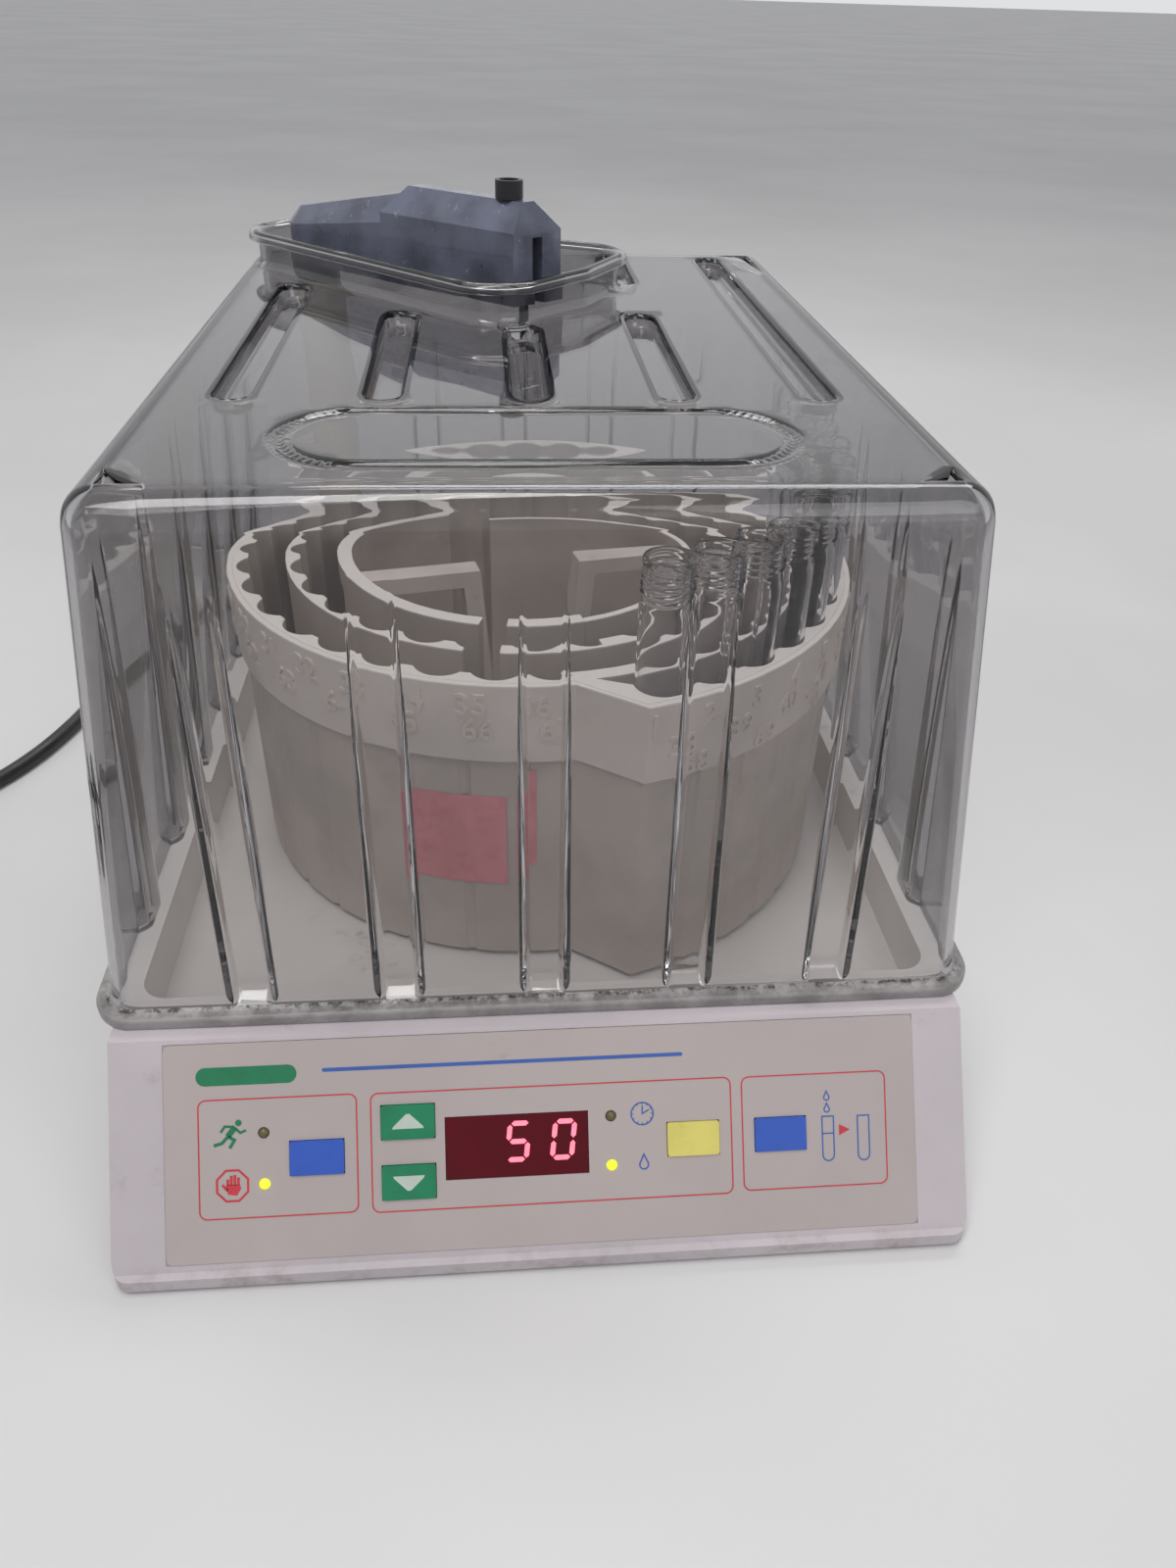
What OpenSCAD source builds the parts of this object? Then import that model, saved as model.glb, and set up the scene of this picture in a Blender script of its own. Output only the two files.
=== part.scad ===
// Bench fraction collector: a spiral tube rack turns on a low base, and a
// swinging arm drops the fractions into its tubes under a clear dust cover.
// Millimetres, +Z up, origin on the table under the middle of the body.

/* [Base] */
// Step in from the cover's foot to each side of the base housing
shoulder_in = 2.5; // [1:0.5:4]
// Depth of the body from the base's front edge to the cover's rear lip
body_d = 385; // [375:1:400]
// Height of the base's shoulder, where the cover rests
base_h = 60; // [57:0.5:64]
// Height of the upright strip under the front panel
toe_h = 6; // [4:0.5:8]
// Lean of the front panel from upright, in degrees
panel_lean = 36.6; // [35:0.2:38]
// Wall of the base housing
base_wall = 3; // [2.5:0.1:4]
// Rounding of the base's upright corners
base_r = 5; // [3:0.5:8]
// Height of the rubber feet below the base
foot_h = 1.5; // [1:0.1:2.5]
// Depth of the deck tray below the shoulder
tray_depth = 16; // [14:0.5:17]

/* [Dust cover] */
// Outside width of the cover at its lip
cover_w = 258; // [256:0.5:260]
// Height of the cover from its lip to its flat top
cover_h = 154; // [150:1:160]
// Inward draft of the cover's sides over its height
cover_draft = 15.6; // [14:0.2:17]
// Sheet thickness of the cover
cover_t = 2.2; // [1.8:0.1:2.4]
// Outward reach of the rolled lip
lip_out = 4; // [3:0.5:5]
// Height of the rolled lip
lip_h = 4; // [3:0.5:5]
// Rounding of the cover's edges
cover_r = 9; // [7:0.5:11]
// Pitch of the stiffening grooves
groove_pitch = 43; // [41:0.5:44]
// Width of a stiffening groove
groove_w = 12; // [10:0.5:13]
// Depth of a groove at its foot, and of the channels on top
groove_d = 4.5; // [3.5:0.1:5]
// Height of the raised collar around the arm
collar_h = 14; // [12:0.5:16]

/* [Tube rack] */
// Room between the cover's side at its foot and the rack's outer wall
rack_side_room = 15.6; // [15.2:0.1:16.6]
// Outside diameter of a tube
tube_d = 15.6; // [15:0.1:15.8]
// Length of a tube
tube_l = 125; // [100:1:130]
// Glass thickness of a tube
tube_t = 1.2; // [0.9:0.1:1.6]
// Room between neighbouring tubes along the spiral
tube_gap = 0.8; // [0.6:0.05:1]
// Wall of the rack behind a tube
wall_t = 1.2; // [1:0.1:1.6]
// Number of tube places
tube_places = 80; // [60:1:80]
// Height of the rack, from its lower edge to its rim
rack_h = 104; // [98:1:106]
// Height of the band around the rim
band_h = 26; // [18:1:32]
// Thickness of the band around the rim
band_t = 2; // [1.4:0.1:2.2]
// Height of the tube floor above the rack's lower edge
floor_up = 18; // [16:0.5:22]

/* [Arm] */
// Distance from the arm's pivot to the drop point
arm_l = 112; // [110:0.5:114]
// Width of the arm
arm_w = 22; // [18:0.5:23]
// Direction of the arm at rest, in degrees from +X
arm_dir = -41.4; // [-43:0.2:-40]
// Diameter of the post that carries the arm
post_d = 20; // [18:0.5:22]
// Diameter of the arm's shaft
shaft_d = 10; // [8:0.5:11]

/* [Panel] */
// Width of the front overlay
overlay_w = 222; // [210:1:226]
// Height of the front overlay
overlay_h = 63; // [60:0.5:64]
// Width of a key
key_w = 15.6; // [14:0.2:17]
// Height of a key
key_h = 10; // [9:0.2:11]
// Travel of a key
key_travel = 0.4; // [0.3:0.05:0.6]

/* [Mains lead] */
// Diameter of the mains lead
cord_d = 7; // [6:0.5:7.5]

/* [Hidden] */
$fn = 64;
tube_count = 10;
tube_nodes = [for (i = [1:tube_count]) str("tube_", i < 10 ? "0" : "", i)];

// Clearances
base_w = cover_w - 2 * shoulder_in;
fit = 0.3;
slip = 0.15;
running = 0.03;

// Plan of the body: y runs from the front edge to the cover's rear lip
front_y = -body_d / 2;
rear_y = body_d / 2;
panel_foot_y = front_y + 2.5;
cover_front_y = front_y + 50;
cover_rear_y = rear_y - lip_out;
base_rear_y = cover_rear_y - 0.7;
cover_mid_y = (cover_front_y + cover_rear_y) / 2;
cover_d = cover_rear_y - cover_front_y;
cover_top_z = base_h + cover_h;

// Panel plane: u along x, v up the slope, w out of the face
panel_foot_z = toe_h + 1;
overlay_foot = 1.5;
overlay_t = 0.8;
overlay_sink = 0.5;

// Deck tray inside the cover
tray_floor_t = 3;
tray_z = base_h - tray_depth;
tray_wall = 2.5;
tray_gap = 0.6;
tray_inset = base_wall + tray_wall + tray_gap;
tray_w = base_w - 2 * tray_inset;
tray_d = 2 * (base_rear_y - tray_inset - cover_mid_y);
rim_up = 3;
rim_inset = cover_t + 0.6;

// Rack frame
rack_front_room = 22.1;
rack_rear_room = 82.1;
rack_r = min(cover_w / 2 - rack_side_room,
             (cover_d - rack_front_room - rack_rear_room) / 2);
rack_c = [0, cover_front_y + rack_front_room + rack_r];
rack_gap = 2;
rack_z = tray_z + rack_gap;
rack_top_z = rack_z + rack_h;
floor_t = 3;
floor_z = rack_z + floor_up;
skirt_t = 2;
scallop = 3.7;
pocket_r = tube_d / 2 + fit;
spiral_step = 2 * pocket_r + wall_t;
tube_pitch = tube_d + tube_gap;
start_a = -75;
turn_end = 0.975;
first_tube_a = 4.5;
track_inset = wall_t + pocket_r;

// Arm frame
pivot_side_room = 47;
pivot_rear_room = 50.5;
pivot = [pivot_side_room - rack_side_room - rack_r, cover_rear_y - pivot_rear_room];
arm_z = cover_top_z + 2;
arm_top_z = arm_z + 33;
arm_eave_z = arm_z + 24;
arm_tip = arm_l + 8;
arm_clear = 2;
swing_in = -8;
swing_out = 19.5;

// Drive train
gear_m = 1;
gear_n = 72;
pinion_n = 18;
sector_n = 60;
gear_z = 12;
gear_t = 6;
spindle_d = 8;
motor_dir = 0;
arm_motor_dir = -45;
deck_under_z = tray_z - tray_floor_t;
plate_t = 2;
plate_top_z = foot_h + plate_t;

// Board behind the panel
board_w = 210;
board_h = 44;
board_foot = 9;
board_back = 12;
board_t = 1.6;

function polar(r, a) = [r * cos(a), r * sin(a)];
// Outer radius of the spiral wall after t turns
function wall_r(t) = rack_r - spiral_step * t;
function wall_a(t) = start_a + 360 * t;
function track_r(t) = wall_r(t) - track_inset;
function spiral_point(t, off) = polar(wall_r(t) + off, wall_a(t));
// Turns at which each tube stands, one pitch apart along the track
tube_turns = [
    for (i = 0, t = first_tube_a / 360; i < tube_places;
         i = i + 1, t = t + tube_pitch / (2 * PI * track_r(t))) t];
function tube_place(i) = polar(track_r(tube_turns[i]), wall_a(tube_turns[i]));
// Places whose pocket lies between two turns of the wall
function places(lo, hi) = [for (i = [0:tube_places - 1]) if (tube_turns[i] > lo && tube_turns[i] < hi) i];

module rounded_rect(w, d, r) {
    hull()
        for (x = [-1, 1], y = [-1, 1])
            translate([x * (w / 2 - r), y * (d / 2 - r)]) circle(r);
}

module on_panel(u = 0, v = 0, w = 0) {
    translate([0, panel_foot_y, panel_foot_z])
        rotate([90 - panel_lean, 0, 0])
            translate([u, v + overlay_foot, w]) children();
}

module at_rack(z = 0) {
    translate([rack_c[0], rack_c[1], z]) children();
}

module at_pivot(z = 0) {
    translate([pivot[0], pivot[1], z]) children();
}

// Arm frame: x along the arm from the pivot, y across it
module along_arm(x = 0, y = 0, z = 0) {
    at_pivot() rotate([0, 0, arm_dir]) translate([x, y, z]) children();
}

// ---------------------------------------------------------------- base
// Side view of the base, y to the right, drawn in by an inset
module base_side(inset, z0, z1) {
    lean = tan(panel_lean);
    slope_in = inset / cos(panel_lean);
    foot = front_y + inset;
    knee_y = panel_foot_y + slope_in;
    function slope_y(z) = knee_y + (z - panel_foot_z) * lean;
    polygon([
        [foot, z0], [base_rear_y - inset, z0], [base_rear_y - inset, z1],
        [slope_y(z1), z1], [max(foot, slope_y(toe_h + 0.5)), toe_h + 0.5], [foot, toe_h]]);
}

module base_block(inset, z0, z1) {
    intersection() {
        rotate([90, 0, 90])
            translate([0, 0, -(base_w / 2 - inset)])
                linear_extrude(base_w - 2 * inset) base_side(inset, z0, z1);
        translate([0, (front_y + base_rear_y) / 2, z0])
            linear_extrude(z1 - z0)
                rounded_rect(base_w - 2 * inset, base_rear_y - front_y - 2 * inset,
                             max(base_r - inset, 1));
    }
}

// Keys: name of place, u and v of the centre
key_places = [[-67.7, 29], [-41.3, 38], [-41.3, 20.5], [43, 29], [69.5, 29]];
lamp_places = [[-82.8, 36.8], [-82.8, 22], [18.4, 36.8], [18.4, 22.2]];
lamp_d = 3;
window_at = [-9.5, 29.5];
window_size = [42, 18.2];
window_hole = [window_size[0] + 2 * slip, window_size[1] + 2 * slip];

module key_holes(depth, top) {
    for (k = key_places)
        on_panel(k[0], k[1], top - depth / 2)
            cube([key_w + 2 * slip, key_h + 2 * slip, depth], center = true);
}

module lamp_holes(depth, top) {
    for (k = lamp_places)
        on_panel(k[0], k[1], top - depth) cylinder(d = lamp_d + 2 * slip, h = depth, $fn = 24);
}

module window_cut(depth, top) {
    on_panel(window_at[0], window_at[1], top - depth / 2)
        cube([window_hole[0], window_hole[1], depth], center = true);
}

screw_x = base_w / 2 - 14;
screw_ys = [front_y + 14, 0, base_rear_y - 14];
screw_spots = [for (x = [-screw_x, screw_x], y = screw_ys) [x, y]];
screw_d = 3;
boss_d = 8;
inlet_at = [-84, 30];
inlet_size = [28, 20];
switch_at = [-40, 30];
switch_size = [13, 19];

module base_shell() {
    color([0.77, 0.73, 0.72]) {
        difference() {
            base_block(0, foot_h, base_h);
            base_block(base_wall, foot_h - 1, base_h - base_wall);
            // seat of the deck tray
            translate([0, cover_mid_y, base_h - base_wall - 1])
                linear_extrude(base_wall + 2)
                    rounded_rect(tray_w + 2 * tray_wall + 2 * slip,
                                 tray_d + 2 * tray_wall + 2 * slip, 10);
            // overlay recess and the openings behind it
            on_panel(0, overlay_h / 2, -overlay_sink / 2 + 1)
                cube([overlay_w + 2 * slip, overlay_h + 2 * slip, overlay_sink + 2], center = true);
            key_holes(base_wall * 3, 1);
            lamp_holes(base_wall * 3, 1);
            window_cut(base_wall * 3, 1);
            translate([inlet_at[0], base_rear_y, inlet_at[1]])
                cube([inlet_size[0] + 2 * slip, base_wall * 3, inlet_size[1] + 2 * slip], center = true);
            translate([switch_at[0], base_rear_y, switch_at[1]])
                cube([switch_size[0] + 2 * slip, base_wall * 3, switch_size[1] + 2 * slip], center = true);
        }
        // screw bosses standing on the bottom plate
        for (s = screw_spots)
            translate([s[0], s[1], plate_top_z])
                difference() {
                    union() {
                        cylinder(d = boss_d, h = boss_h(s[1]), $fn = 32);
                        side = s[0] > 0 ? 1 : -1;
                        translate([side > 0 ? 0 : -(base_w / 2 - base_wall - screw_x) - 0.5, -1, 0])
                            cube([base_w / 2 - base_wall - screw_x + 0.5, 2, boss_h(s[1])]);
                    }
                    translate([0, 0, -1]) cylinder(d = screw_d, h = 9, $fn = 24);
                }
    }
}
function boss_h(y) = y < front_y + 30 ? 9 : 14;

module bottom_plate() {
    color([0.62, 0.63, 0.64])
        difference() {
            translate([0, (front_y + base_rear_y) / 2, foot_h])
                linear_extrude(plate_t)
                    rounded_rect(base_w - 2 * base_wall - 2 * fit,
                                 base_rear_y - front_y - 2 * base_wall - 2 * fit, base_r - 2);
            for (s = screw_spots)
                translate([s[0], s[1], 0]) cylinder(d = screw_d + 0.4, h = 10, $fn = 24);
        }
}

foot_d = 16;
foot_spots = [for (x = [-1, 1], y = [front_y + 34, base_rear_y - 34]) [x * (base_w / 2 - 26), y]];
module rubber_feet() {
    color([0.12, 0.12, 0.12])
        for (s = foot_spots)
            translate([s[0], s[1], 0]) cylinder(d = foot_d, h = foot_h, $fn = 40);
}

module base_screws() {
    color([0.7, 0.7, 0.72])
        for (s = screw_spots)
            translate([s[0], s[1], 0.3]) {
                cylinder(d = screw_d + 2.6, h = foot_h - 0.3, $fn = 24);
                cylinder(d = screw_d - 0.1, h = plate_top_z + 6, $fn = 24);
            }
}

spindle_hole_d = 16;
module deck_tray() {
    color([0.74, 0.71, 0.69])
        difference() {
            union() {
                translate([0, cover_mid_y, deck_under_z])
                    linear_extrude(base_h + rim_up - deck_under_z)
                        rounded_rect(tray_w + 2 * tray_wall, tray_d + 2 * tray_wall, 10);
                // locating rim on the shoulder, inside the cover
                translate([0, cover_mid_y, base_h])
                    linear_extrude(rim_up)
                        rounded_rect(cover_w - 2 * rim_inset, cover_d - 2 * rim_inset, cover_r);
            }
            translate([0, cover_mid_y, tray_z])
                linear_extrude(tray_depth + rim_up + 1) rounded_rect(tray_w, tray_d, 8);
            at_rack(0) cylinder(d = spindle_hole_d, h = tray_z + 1);
            at_pivot(0) cylinder(d = shaft_d + 1, h = tray_z + 1);
        }
}

// --------------------------------------------------------------- panel
module front_overlay() {
    color([0.70, 0.67, 0.64])
        difference() {
            on_panel(0, overlay_h / 2, -overlay_sink)
                linear_extrude(overlay_t) rounded_rect(overlay_w, overlay_h, 2);
            key_holes(overlay_t * 4, 1);
            lamp_holes(overlay_t * 4, 1);
            window_cut(overlay_t * 4, 1);
        }
}

module display_window() {
    color([0.35, 0.02, 0.1])
        on_panel(window_at[0], window_at[1], -1.9)
            linear_extrude(2) rounded_rect(window_size[0], window_size[1], 0.6);
}

digit_module = [26, 15, 6];
module digit_display() {
    color([0.2, 0.02, 0.05])
        on_panel(window_at[0] + 7, window_at[1] + 1, -(board_back - board_t))
            translate([-digit_module[0] / 2, -digit_module[1] / 2, 0])
                cube([digit_module[0], digit_module[1], board_back - board_t - 2.2]);
}

module status_lamps() {
    color([0.85, 0.95, 0.2])
        for (k = lamp_places)
            on_panel(k[0], k[1], -(board_back - board_t)) {
                cylinder(d = lamp_d, h = board_back - board_t - 0.2, $fn = 24);
                translate([0, 0, board_back - board_t - 0.2]) sphere(d = lamp_d, $fn = 24);
            }
}

module key_cap(i, colour) {
    k = key_places[i];
    stem = 4;
    color(colour)
        on_panel(k[0], k[1], 0) {
            translate([0, 0, -overlay_sink])
                linear_extrude(overlay_sink + 0.9) rounded_rect(key_w, key_h, 0.8);
            translate([0, 0, (-overlay_sink - stem_foot) / 2])
                cube([stem, stem, stem_foot - overlay_sink], center = true);
        }
}
stem_foot = 8;
module key_start() key_cap(0, [0.22, 0.38, 0.74]);
module key_up() key_cap(1, [0.1, 0.5, 0.35]);
module key_down() key_cap(2, [0.1, 0.5, 0.35]);
module key_mode() key_cap(3, [0.88, 0.84, 0.45]);
module key_step() key_cap(4, [0.22, 0.38, 0.74]);

module control_board() {
    dome = stem_foot + key_travel + 0.2;
    color([0.1, 0.4, 0.2]) {
        on_panel(0, board_foot + board_h / 2, -board_back)
            linear_extrude(board_t) square([board_w, board_h], center = true);
        // tactile switches under the keys
        for (k = key_places)
            on_panel(k[0], k[1], -(board_back - board_t))
                linear_extrude(board_back - board_t - dome) square(6, center = true);
        // spacers up to the inside of the panel wall
        for (x = [-1, 1], y = [0, 1])
            on_panel(x * (board_w / 2 - 4), board_foot + 4 + y * (board_h - 8), -(board_back - board_t))
                cylinder(d = 6, h = board_back - board_t - base_wall, $fn = 32);
    }
}

// --------------------------------------------------------------- drive
// Involute gear blank: tooth flanks thinned by a backlash
function inv_point(rb, a) = [rb * (cos(a) + a * PI / 180 * sin(a)), rb * (sin(a) - a * PI / 180 * cos(a))];
function inv_angle(r, rb) = sqrt(pow(r / rb, 2) - 1) * 180 / PI;
function rot2(p, a) = [p[0] * cos(a) - p[1] * sin(a), p[0] * sin(a) + p[1] * cos(a)];
module gear_2d(n, m, backlash = 0.35) {
    rp = n * m / 2;
    rb = rp * cos(20);
    ra = rp + m * 0.92;
    rf = rp - m * 1.25;
    lo = inv_angle(max(rb, rf + 0.05), rb);
    hi = inv_angle(ra, rb);
    pitch_a = inv_angle(rp, rb) - atan(inv_angle(rp, rb) * PI / 180);
    half = 90 / n - backlash / 2 / rp * 180 / PI + pitch_a;
    flank = [for (i = [0:4]) inv_point(rb, lo + (hi - lo) * i / 4)];
    foot_a = min(half, 180 / n * 0.96);
    tooth = concat([polar(rf, -foot_a)], [for (p = flank) rot2(p, -half)],
                   [for (i = [4:-1:0]) rot2([flank[i][0], -flank[i][1]], half)], [polar(rf, foot_a)]);
    polygon([for (k = [0:n - 1], p = tooth) rot2(p, 360 * k / n)]);
}

module motor_body(d, z0) {
    // gearmotor hung from the deck by its flange
    translate([0, 0, z0]) cylinder(d = d, h = deck_under_z - z0);
    translate([0, 0, deck_under_z - 2]) linear_extrude(2) rounded_rect(d + 16, d * 0.5, 4);
}

module on_motor(c, reach, dir) {
    translate([c[0] + reach * cos(dir), c[1] + reach * sin(dir), 0]) rotate([0, 0, dir]) children();
}
rack_reach = gear_m * (gear_n + pinion_n) / 2;
arm_reach = gear_m * (sector_n + pinion_n) / 2;
motor_shaft_d = 4;

module rack_motor() {
    color([0.55, 0.56, 0.58])
        on_motor(rack_c, rack_reach, motor_dir)
            difference() {
                motor_body(34, gear_z + gear_t + 2);
                translate([0, 0, -1]) cylinder(d = motor_shaft_d + 2 * running, h = deck_under_z - 4);
            }
}

module drive_pinion(shaft_top) {
    // the tooth gap faces the gear
    rotate([0, 0, 180 + 180 / pinion_n])
        translate([0, 0, gear_z - 1]) linear_extrude(gear_t + 2) gear_2d(pinion_n, gear_m);
    translate([0, 0, gear_z - 3]) cylinder(d = motor_shaft_d, h = shaft_top - gear_z + 3);
}

module rack_pinion() {
    color([0.8, 0.72, 0.4])
        on_motor(rack_c, rack_reach, motor_dir) drive_pinion(deck_under_z - 8);
}

module drive_gear() {
    color([0.9, 0.9, 0.86])
        at_rack(gear_z) rotate([0, 0, motor_dir])
            difference() {
                union() {
                    linear_extrude(gear_t) gear_2d(gear_n, gear_m);
                    cylinder(d = 18, h = gear_t + 4);
                }
                translate([0, 0, -1]) cylinder(d = spindle_d, h = gear_t + 6);
            }
}

hub_d = 64;
hub_t = floor_z - floor_t - (rack_z + 1);
module spindle() {
    color([0.72, 0.73, 0.75])
        at_rack(plate_top_z + 1) cylinder(d = spindle_d, h = floor_z - floor_t - 2 - plate_top_z - 1);
}

module spindle_bushes() {
    color([0.75, 0.6, 0.35]) {
        // lower bush in its cup on the bottom plate
        at_rack(plate_top_z)
            difference() {
                cylinder(d = spindle_d + 12, h = gear_z - plate_top_z - 1);
                translate([0, 0, 1]) cylinder(d = spindle_d + 2 * running, h = gear_z);
            }
        // flanged bush in the deck
        at_rack(deck_under_z - 3)
            difference() {
                union() {
                    cylinder(d = spindle_hole_d - 2 * slip, h = tray_floor_t + 3);
                    cylinder(d = spindle_hole_d + 6, h = 3);
                }
                translate([0, 0, -1]) cylinder(d = spindle_d + 2 * running, h = 20);
            }
    }
}

module turntable_hub() {
    color([0.35, 0.36, 0.38])
        at_rack(rack_z + 1)
            difference() {
                union() {
                    translate([0, 0, hub_t - 5]) cylinder(d = hub_d, h = 5);
                    cylinder(d = 22, h = hub_t);
                }
                translate([0, 0, -1]) cylinder(d = spindle_d, h = hub_t - 1);
            }
}

module transformer() {
    color([0.5, 0.45, 0.35])
        translate([30, base_rear_y - 70, plate_top_z]) {
            translate([0, 0, 0]) cube([46, 38, 30]);
            translate([4, -8, 4]) cube([38, 54, 22]);
        }
}

// ---------------------------------------------------------------- rack
outline_n = 72;
function outline(off, t0, t1, n) = [for (i = [0:n]) spiral_point(t0 + (t1 - t0) * i / n, off)];
module rack_outline(off = 0) polygon(outline(off, 0, turn_end, outline_n));
module rack_inside() polygon(outline(-wall_t - scallop, 0.012, turn_end - 0.005, outline_n));

module pockets(lo, hi) {
    for (i = places(lo, hi)) translate(tube_place(i)) circle(pocket_r, $fn = 48);
}

// Strip along the spiral between two turns, of a given thickness
module spiral_band(t0, t1, n, thick) {
    polygon(concat(outline(0, t0, t1, n), [
        for (i = [n:-1:0]) spiral_point(t0 + (t1 - t0) * i / n, -thick)]));
}

module outer_wall_2d() {
    difference() {
        rack_outline();
        rack_inside();
        pockets(0, 1);
    }
}

// Shallow creases on the outside, one between each two tubes of the first turn
crease_r = 2.4;
crease_in = 0.9;
module creases() {
    for (i = places(0, turn_end - 0.03)) {
        t = tube_turns[i] + tube_pitch / (4 * PI * track_r(tube_turns[i]));
        translate(spiral_point(t, crease_r - crease_in)) circle(crease_r, $fn = 24);
    }
}

module rack_wall_outer() {
    band_z = rack_top_z - band_h;
    color([0.78, 0.74, 0.70])
        at_rack() {
            translate([0, 0, band_z]) linear_extrude(band_h) outer_wall_2d();
            translate([0, 0, floor_z])
                linear_extrude(band_z - floor_z)
                    difference() {
                        outer_wall_2d();
                        creases();
                    }
            // plain skirt below the tube floor
            translate([0, 0, rack_z])
                linear_extrude(floor_z - rack_z)
                    difference() {
                        rack_outline();
                        rack_outline(-skirt_t);
                        creases();
                    }
        }
}

module rack_rim() {
    color([0.80, 0.76, 0.72])
        at_rack(rack_top_z - band_h)
            linear_extrude(band_h)
                difference() {
                    rack_outline(band_t);
                    rack_outline();
                }
}

module rack_floor() {
    color([0.76, 0.72, 0.68])
        at_rack(floor_z - floor_t)
            linear_extrude(floor_t) rack_outline(-skirt_t);
}

// Finger slot that crosses the two inner walls from above
slot_from = -106;
slot_to = -98;
slot_foot = 20;
module finger_slot() {
    translate([0, 0, floor_z + slot_foot])
        linear_extrude(rack_h)
            polygon([polar(48, slot_from), polar(94, slot_from), polar(94, slot_to), polar(48, slot_to)]);
}

// One turn of wall inside the first, scalloped for the tubes of turn k
module inner_wall(t0, t1, n, k, thick) {
    color([0.77, 0.73, 0.69])
        at_rack()
            difference() {
                translate([0, 0, floor_z])
                    linear_extrude(rack_top_z - floor_z)
                        difference() {
                            spiral_band(t0, t1, n, thick);
                            pockets(k, k + 1);
                            difference() {
                                rack_outline(band_t + 10);
                                rack_inside();
                            }
                        }
                finger_slot();
            }
}
core_t = 2.4;
module rack_wall_middle() inner_wall(0.97, 2, 72, 1, wall_t + scallop);
module rack_wall_inner() inner_wall(2, 3, 60, 2, wall_t + scallop);
module rack_wall_core() inner_wall(3, core_end, 30, 3, core_t);
core_end = 3.5;

// Two lifting brackets, from the inner walls to a leg on each side of the middle
handle_a = 12.2;
handle_w = 9;
handle_t = 6;
handle_drop = 6;
leg_top = 18;
leg_foot = 12;
module rack_handles() {
    top = rack_top_z - handle_drop;
    turn = (handle_a - start_a) / 360;
    right = wall_r(3 + turn) - core_t - 0.4;
    left = wall_r(2.5 + turn) - wall_t - scallop - 0.4;
    color([0.80, 0.76, 0.72])
        at_rack() rotate([90, 0, handle_a])
            for (s = [[0, right], [1, left]])
                mirror([s[0], 0, 0]) translate([0, 0, -handle_w / 2])
                    linear_extrude(handle_w)
                        polygon([
                            [s[1], top], [s[1], top - handle_t], [leg_top + handle_t, top - handle_t],
                            [leg_foot + handle_t, floor_z], [leg_foot, floor_z], [leg_top, top]]);
}

module rack_label() {
    // pink paper label on the skirt, bent with the wall
    a0 = -113;
    a1 = -96;
    label_h = 34;
    t0 = (a0 + 360 - start_a) / 360;
    t1 = (a1 + 360 - start_a) / 360;
    n = 6;
    color([0.85, 0.5, 0.55])
        at_rack(rack_top_z - band_h - 14 - label_h)
            linear_extrude(label_h)
                polygon(concat(
                    [for (i = [0:n]) spiral_point(t0 + (t1 - t0) * i / n, 0.35)],
                    [for (i = [n:-1:0]) spiral_point(t0 + (t1 - t0) * i / n, 0.05)]));
}

module tube(i) {
    p = tube_place(i);
    r = tube_d / 2;
    bore = r - tube_t;
    neck = r - 0.7;
    neck_h = 14;
    color([0.85, 0.9, 0.92])
        at_rack(floor_z) translate([p[0], p[1], 0])
            rotate_extrude($fn = 48)
                difference() {
                    polygon(concat(
                        [[0, 0], [r * sin(25), 0]],
                        [for (a = [35:11:90]) [r * sin(a), r - r * cos(a)]],
                        [[r, tube_l - neck_h - 1], [neck, tube_l - neck_h], [neck, tube_l], [0, tube_l]]));
                    polygon(concat(
                        [[0, tube_t]],
                        [for (a = [15:15:90]) [bore * sin(a), tube_t + bore - bore * cos(a)]],
                        [[bore, tube_l - neck_h - 2], [neck - tube_t, tube_l - neck_h + 1],
                         [neck - tube_t, tube_l + 1], [0, tube_l + 1]]));
                }
}

// ----------------------------------------------------------------- arm
module arm_motor() {
    color([0.55, 0.56, 0.58])
        on_motor(pivot, arm_reach, arm_motor_dir)
            difference() {
                motor_body(28, gear_z + gear_t + 2);
                translate([0, 0, -1]) cylinder(d = motor_shaft_d + 2 * running, h = deck_under_z - 4);
            }
}

module arm_pinion() {
    color([0.8, 0.72, 0.4])
        on_motor(pivot, arm_reach, arm_motor_dir) drive_pinion(deck_under_z - 8);
}

module arm_sector() {
    spread = 34;
    color([0.9, 0.9, 0.86])
        at_pivot(gear_z) rotate([0, 0, arm_motor_dir])
            difference() {
                union() {
                    linear_extrude(gear_t)
                        intersection() {
                            gear_2d(sector_n, gear_m);
                            polygon([[0, 0], polar(60, -spread), [60, 0], polar(60, spread)]);
                        }
                    cylinder(d = shaft_d + 10, h = gear_t + 3);
                }
                translate([0, 0, -1]) cylinder(d = shaft_d, h = gear_t + 6);
            }
}

module arm_shaft() {
    color([0.72, 0.73, 0.75])
        at_pivot(gear_z) cylinder(d = shaft_d, h = arm_z - gear_z);
}

post_top_z = arm_z - 12;
bush_h = 8;
module arm_post() {
    color([0.78, 0.74, 0.70])
        at_pivot(tray_z)
            difference() {
                union() {
                    cylinder(d = post_d, h = post_top_z - tray_z);
                    cylinder(d = post_d + 14, h = 4);
                }
                translate([0, 0, -1]) cylinder(d = shaft_d + 4, h = post_top_z - tray_z + 2);
            }
}

module arm_bushes() {
    color([0.75, 0.6, 0.35])
        for (z = [tray_z, post_top_z - bush_h])
            at_pivot(z)
                difference() {
                    cylinder(d = shaft_d + 4, h = bush_h);
                    translate([0, 0, -1]) cylinder(d = shaft_d + 2 * running, h = bush_h + 2);
                }
}

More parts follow.
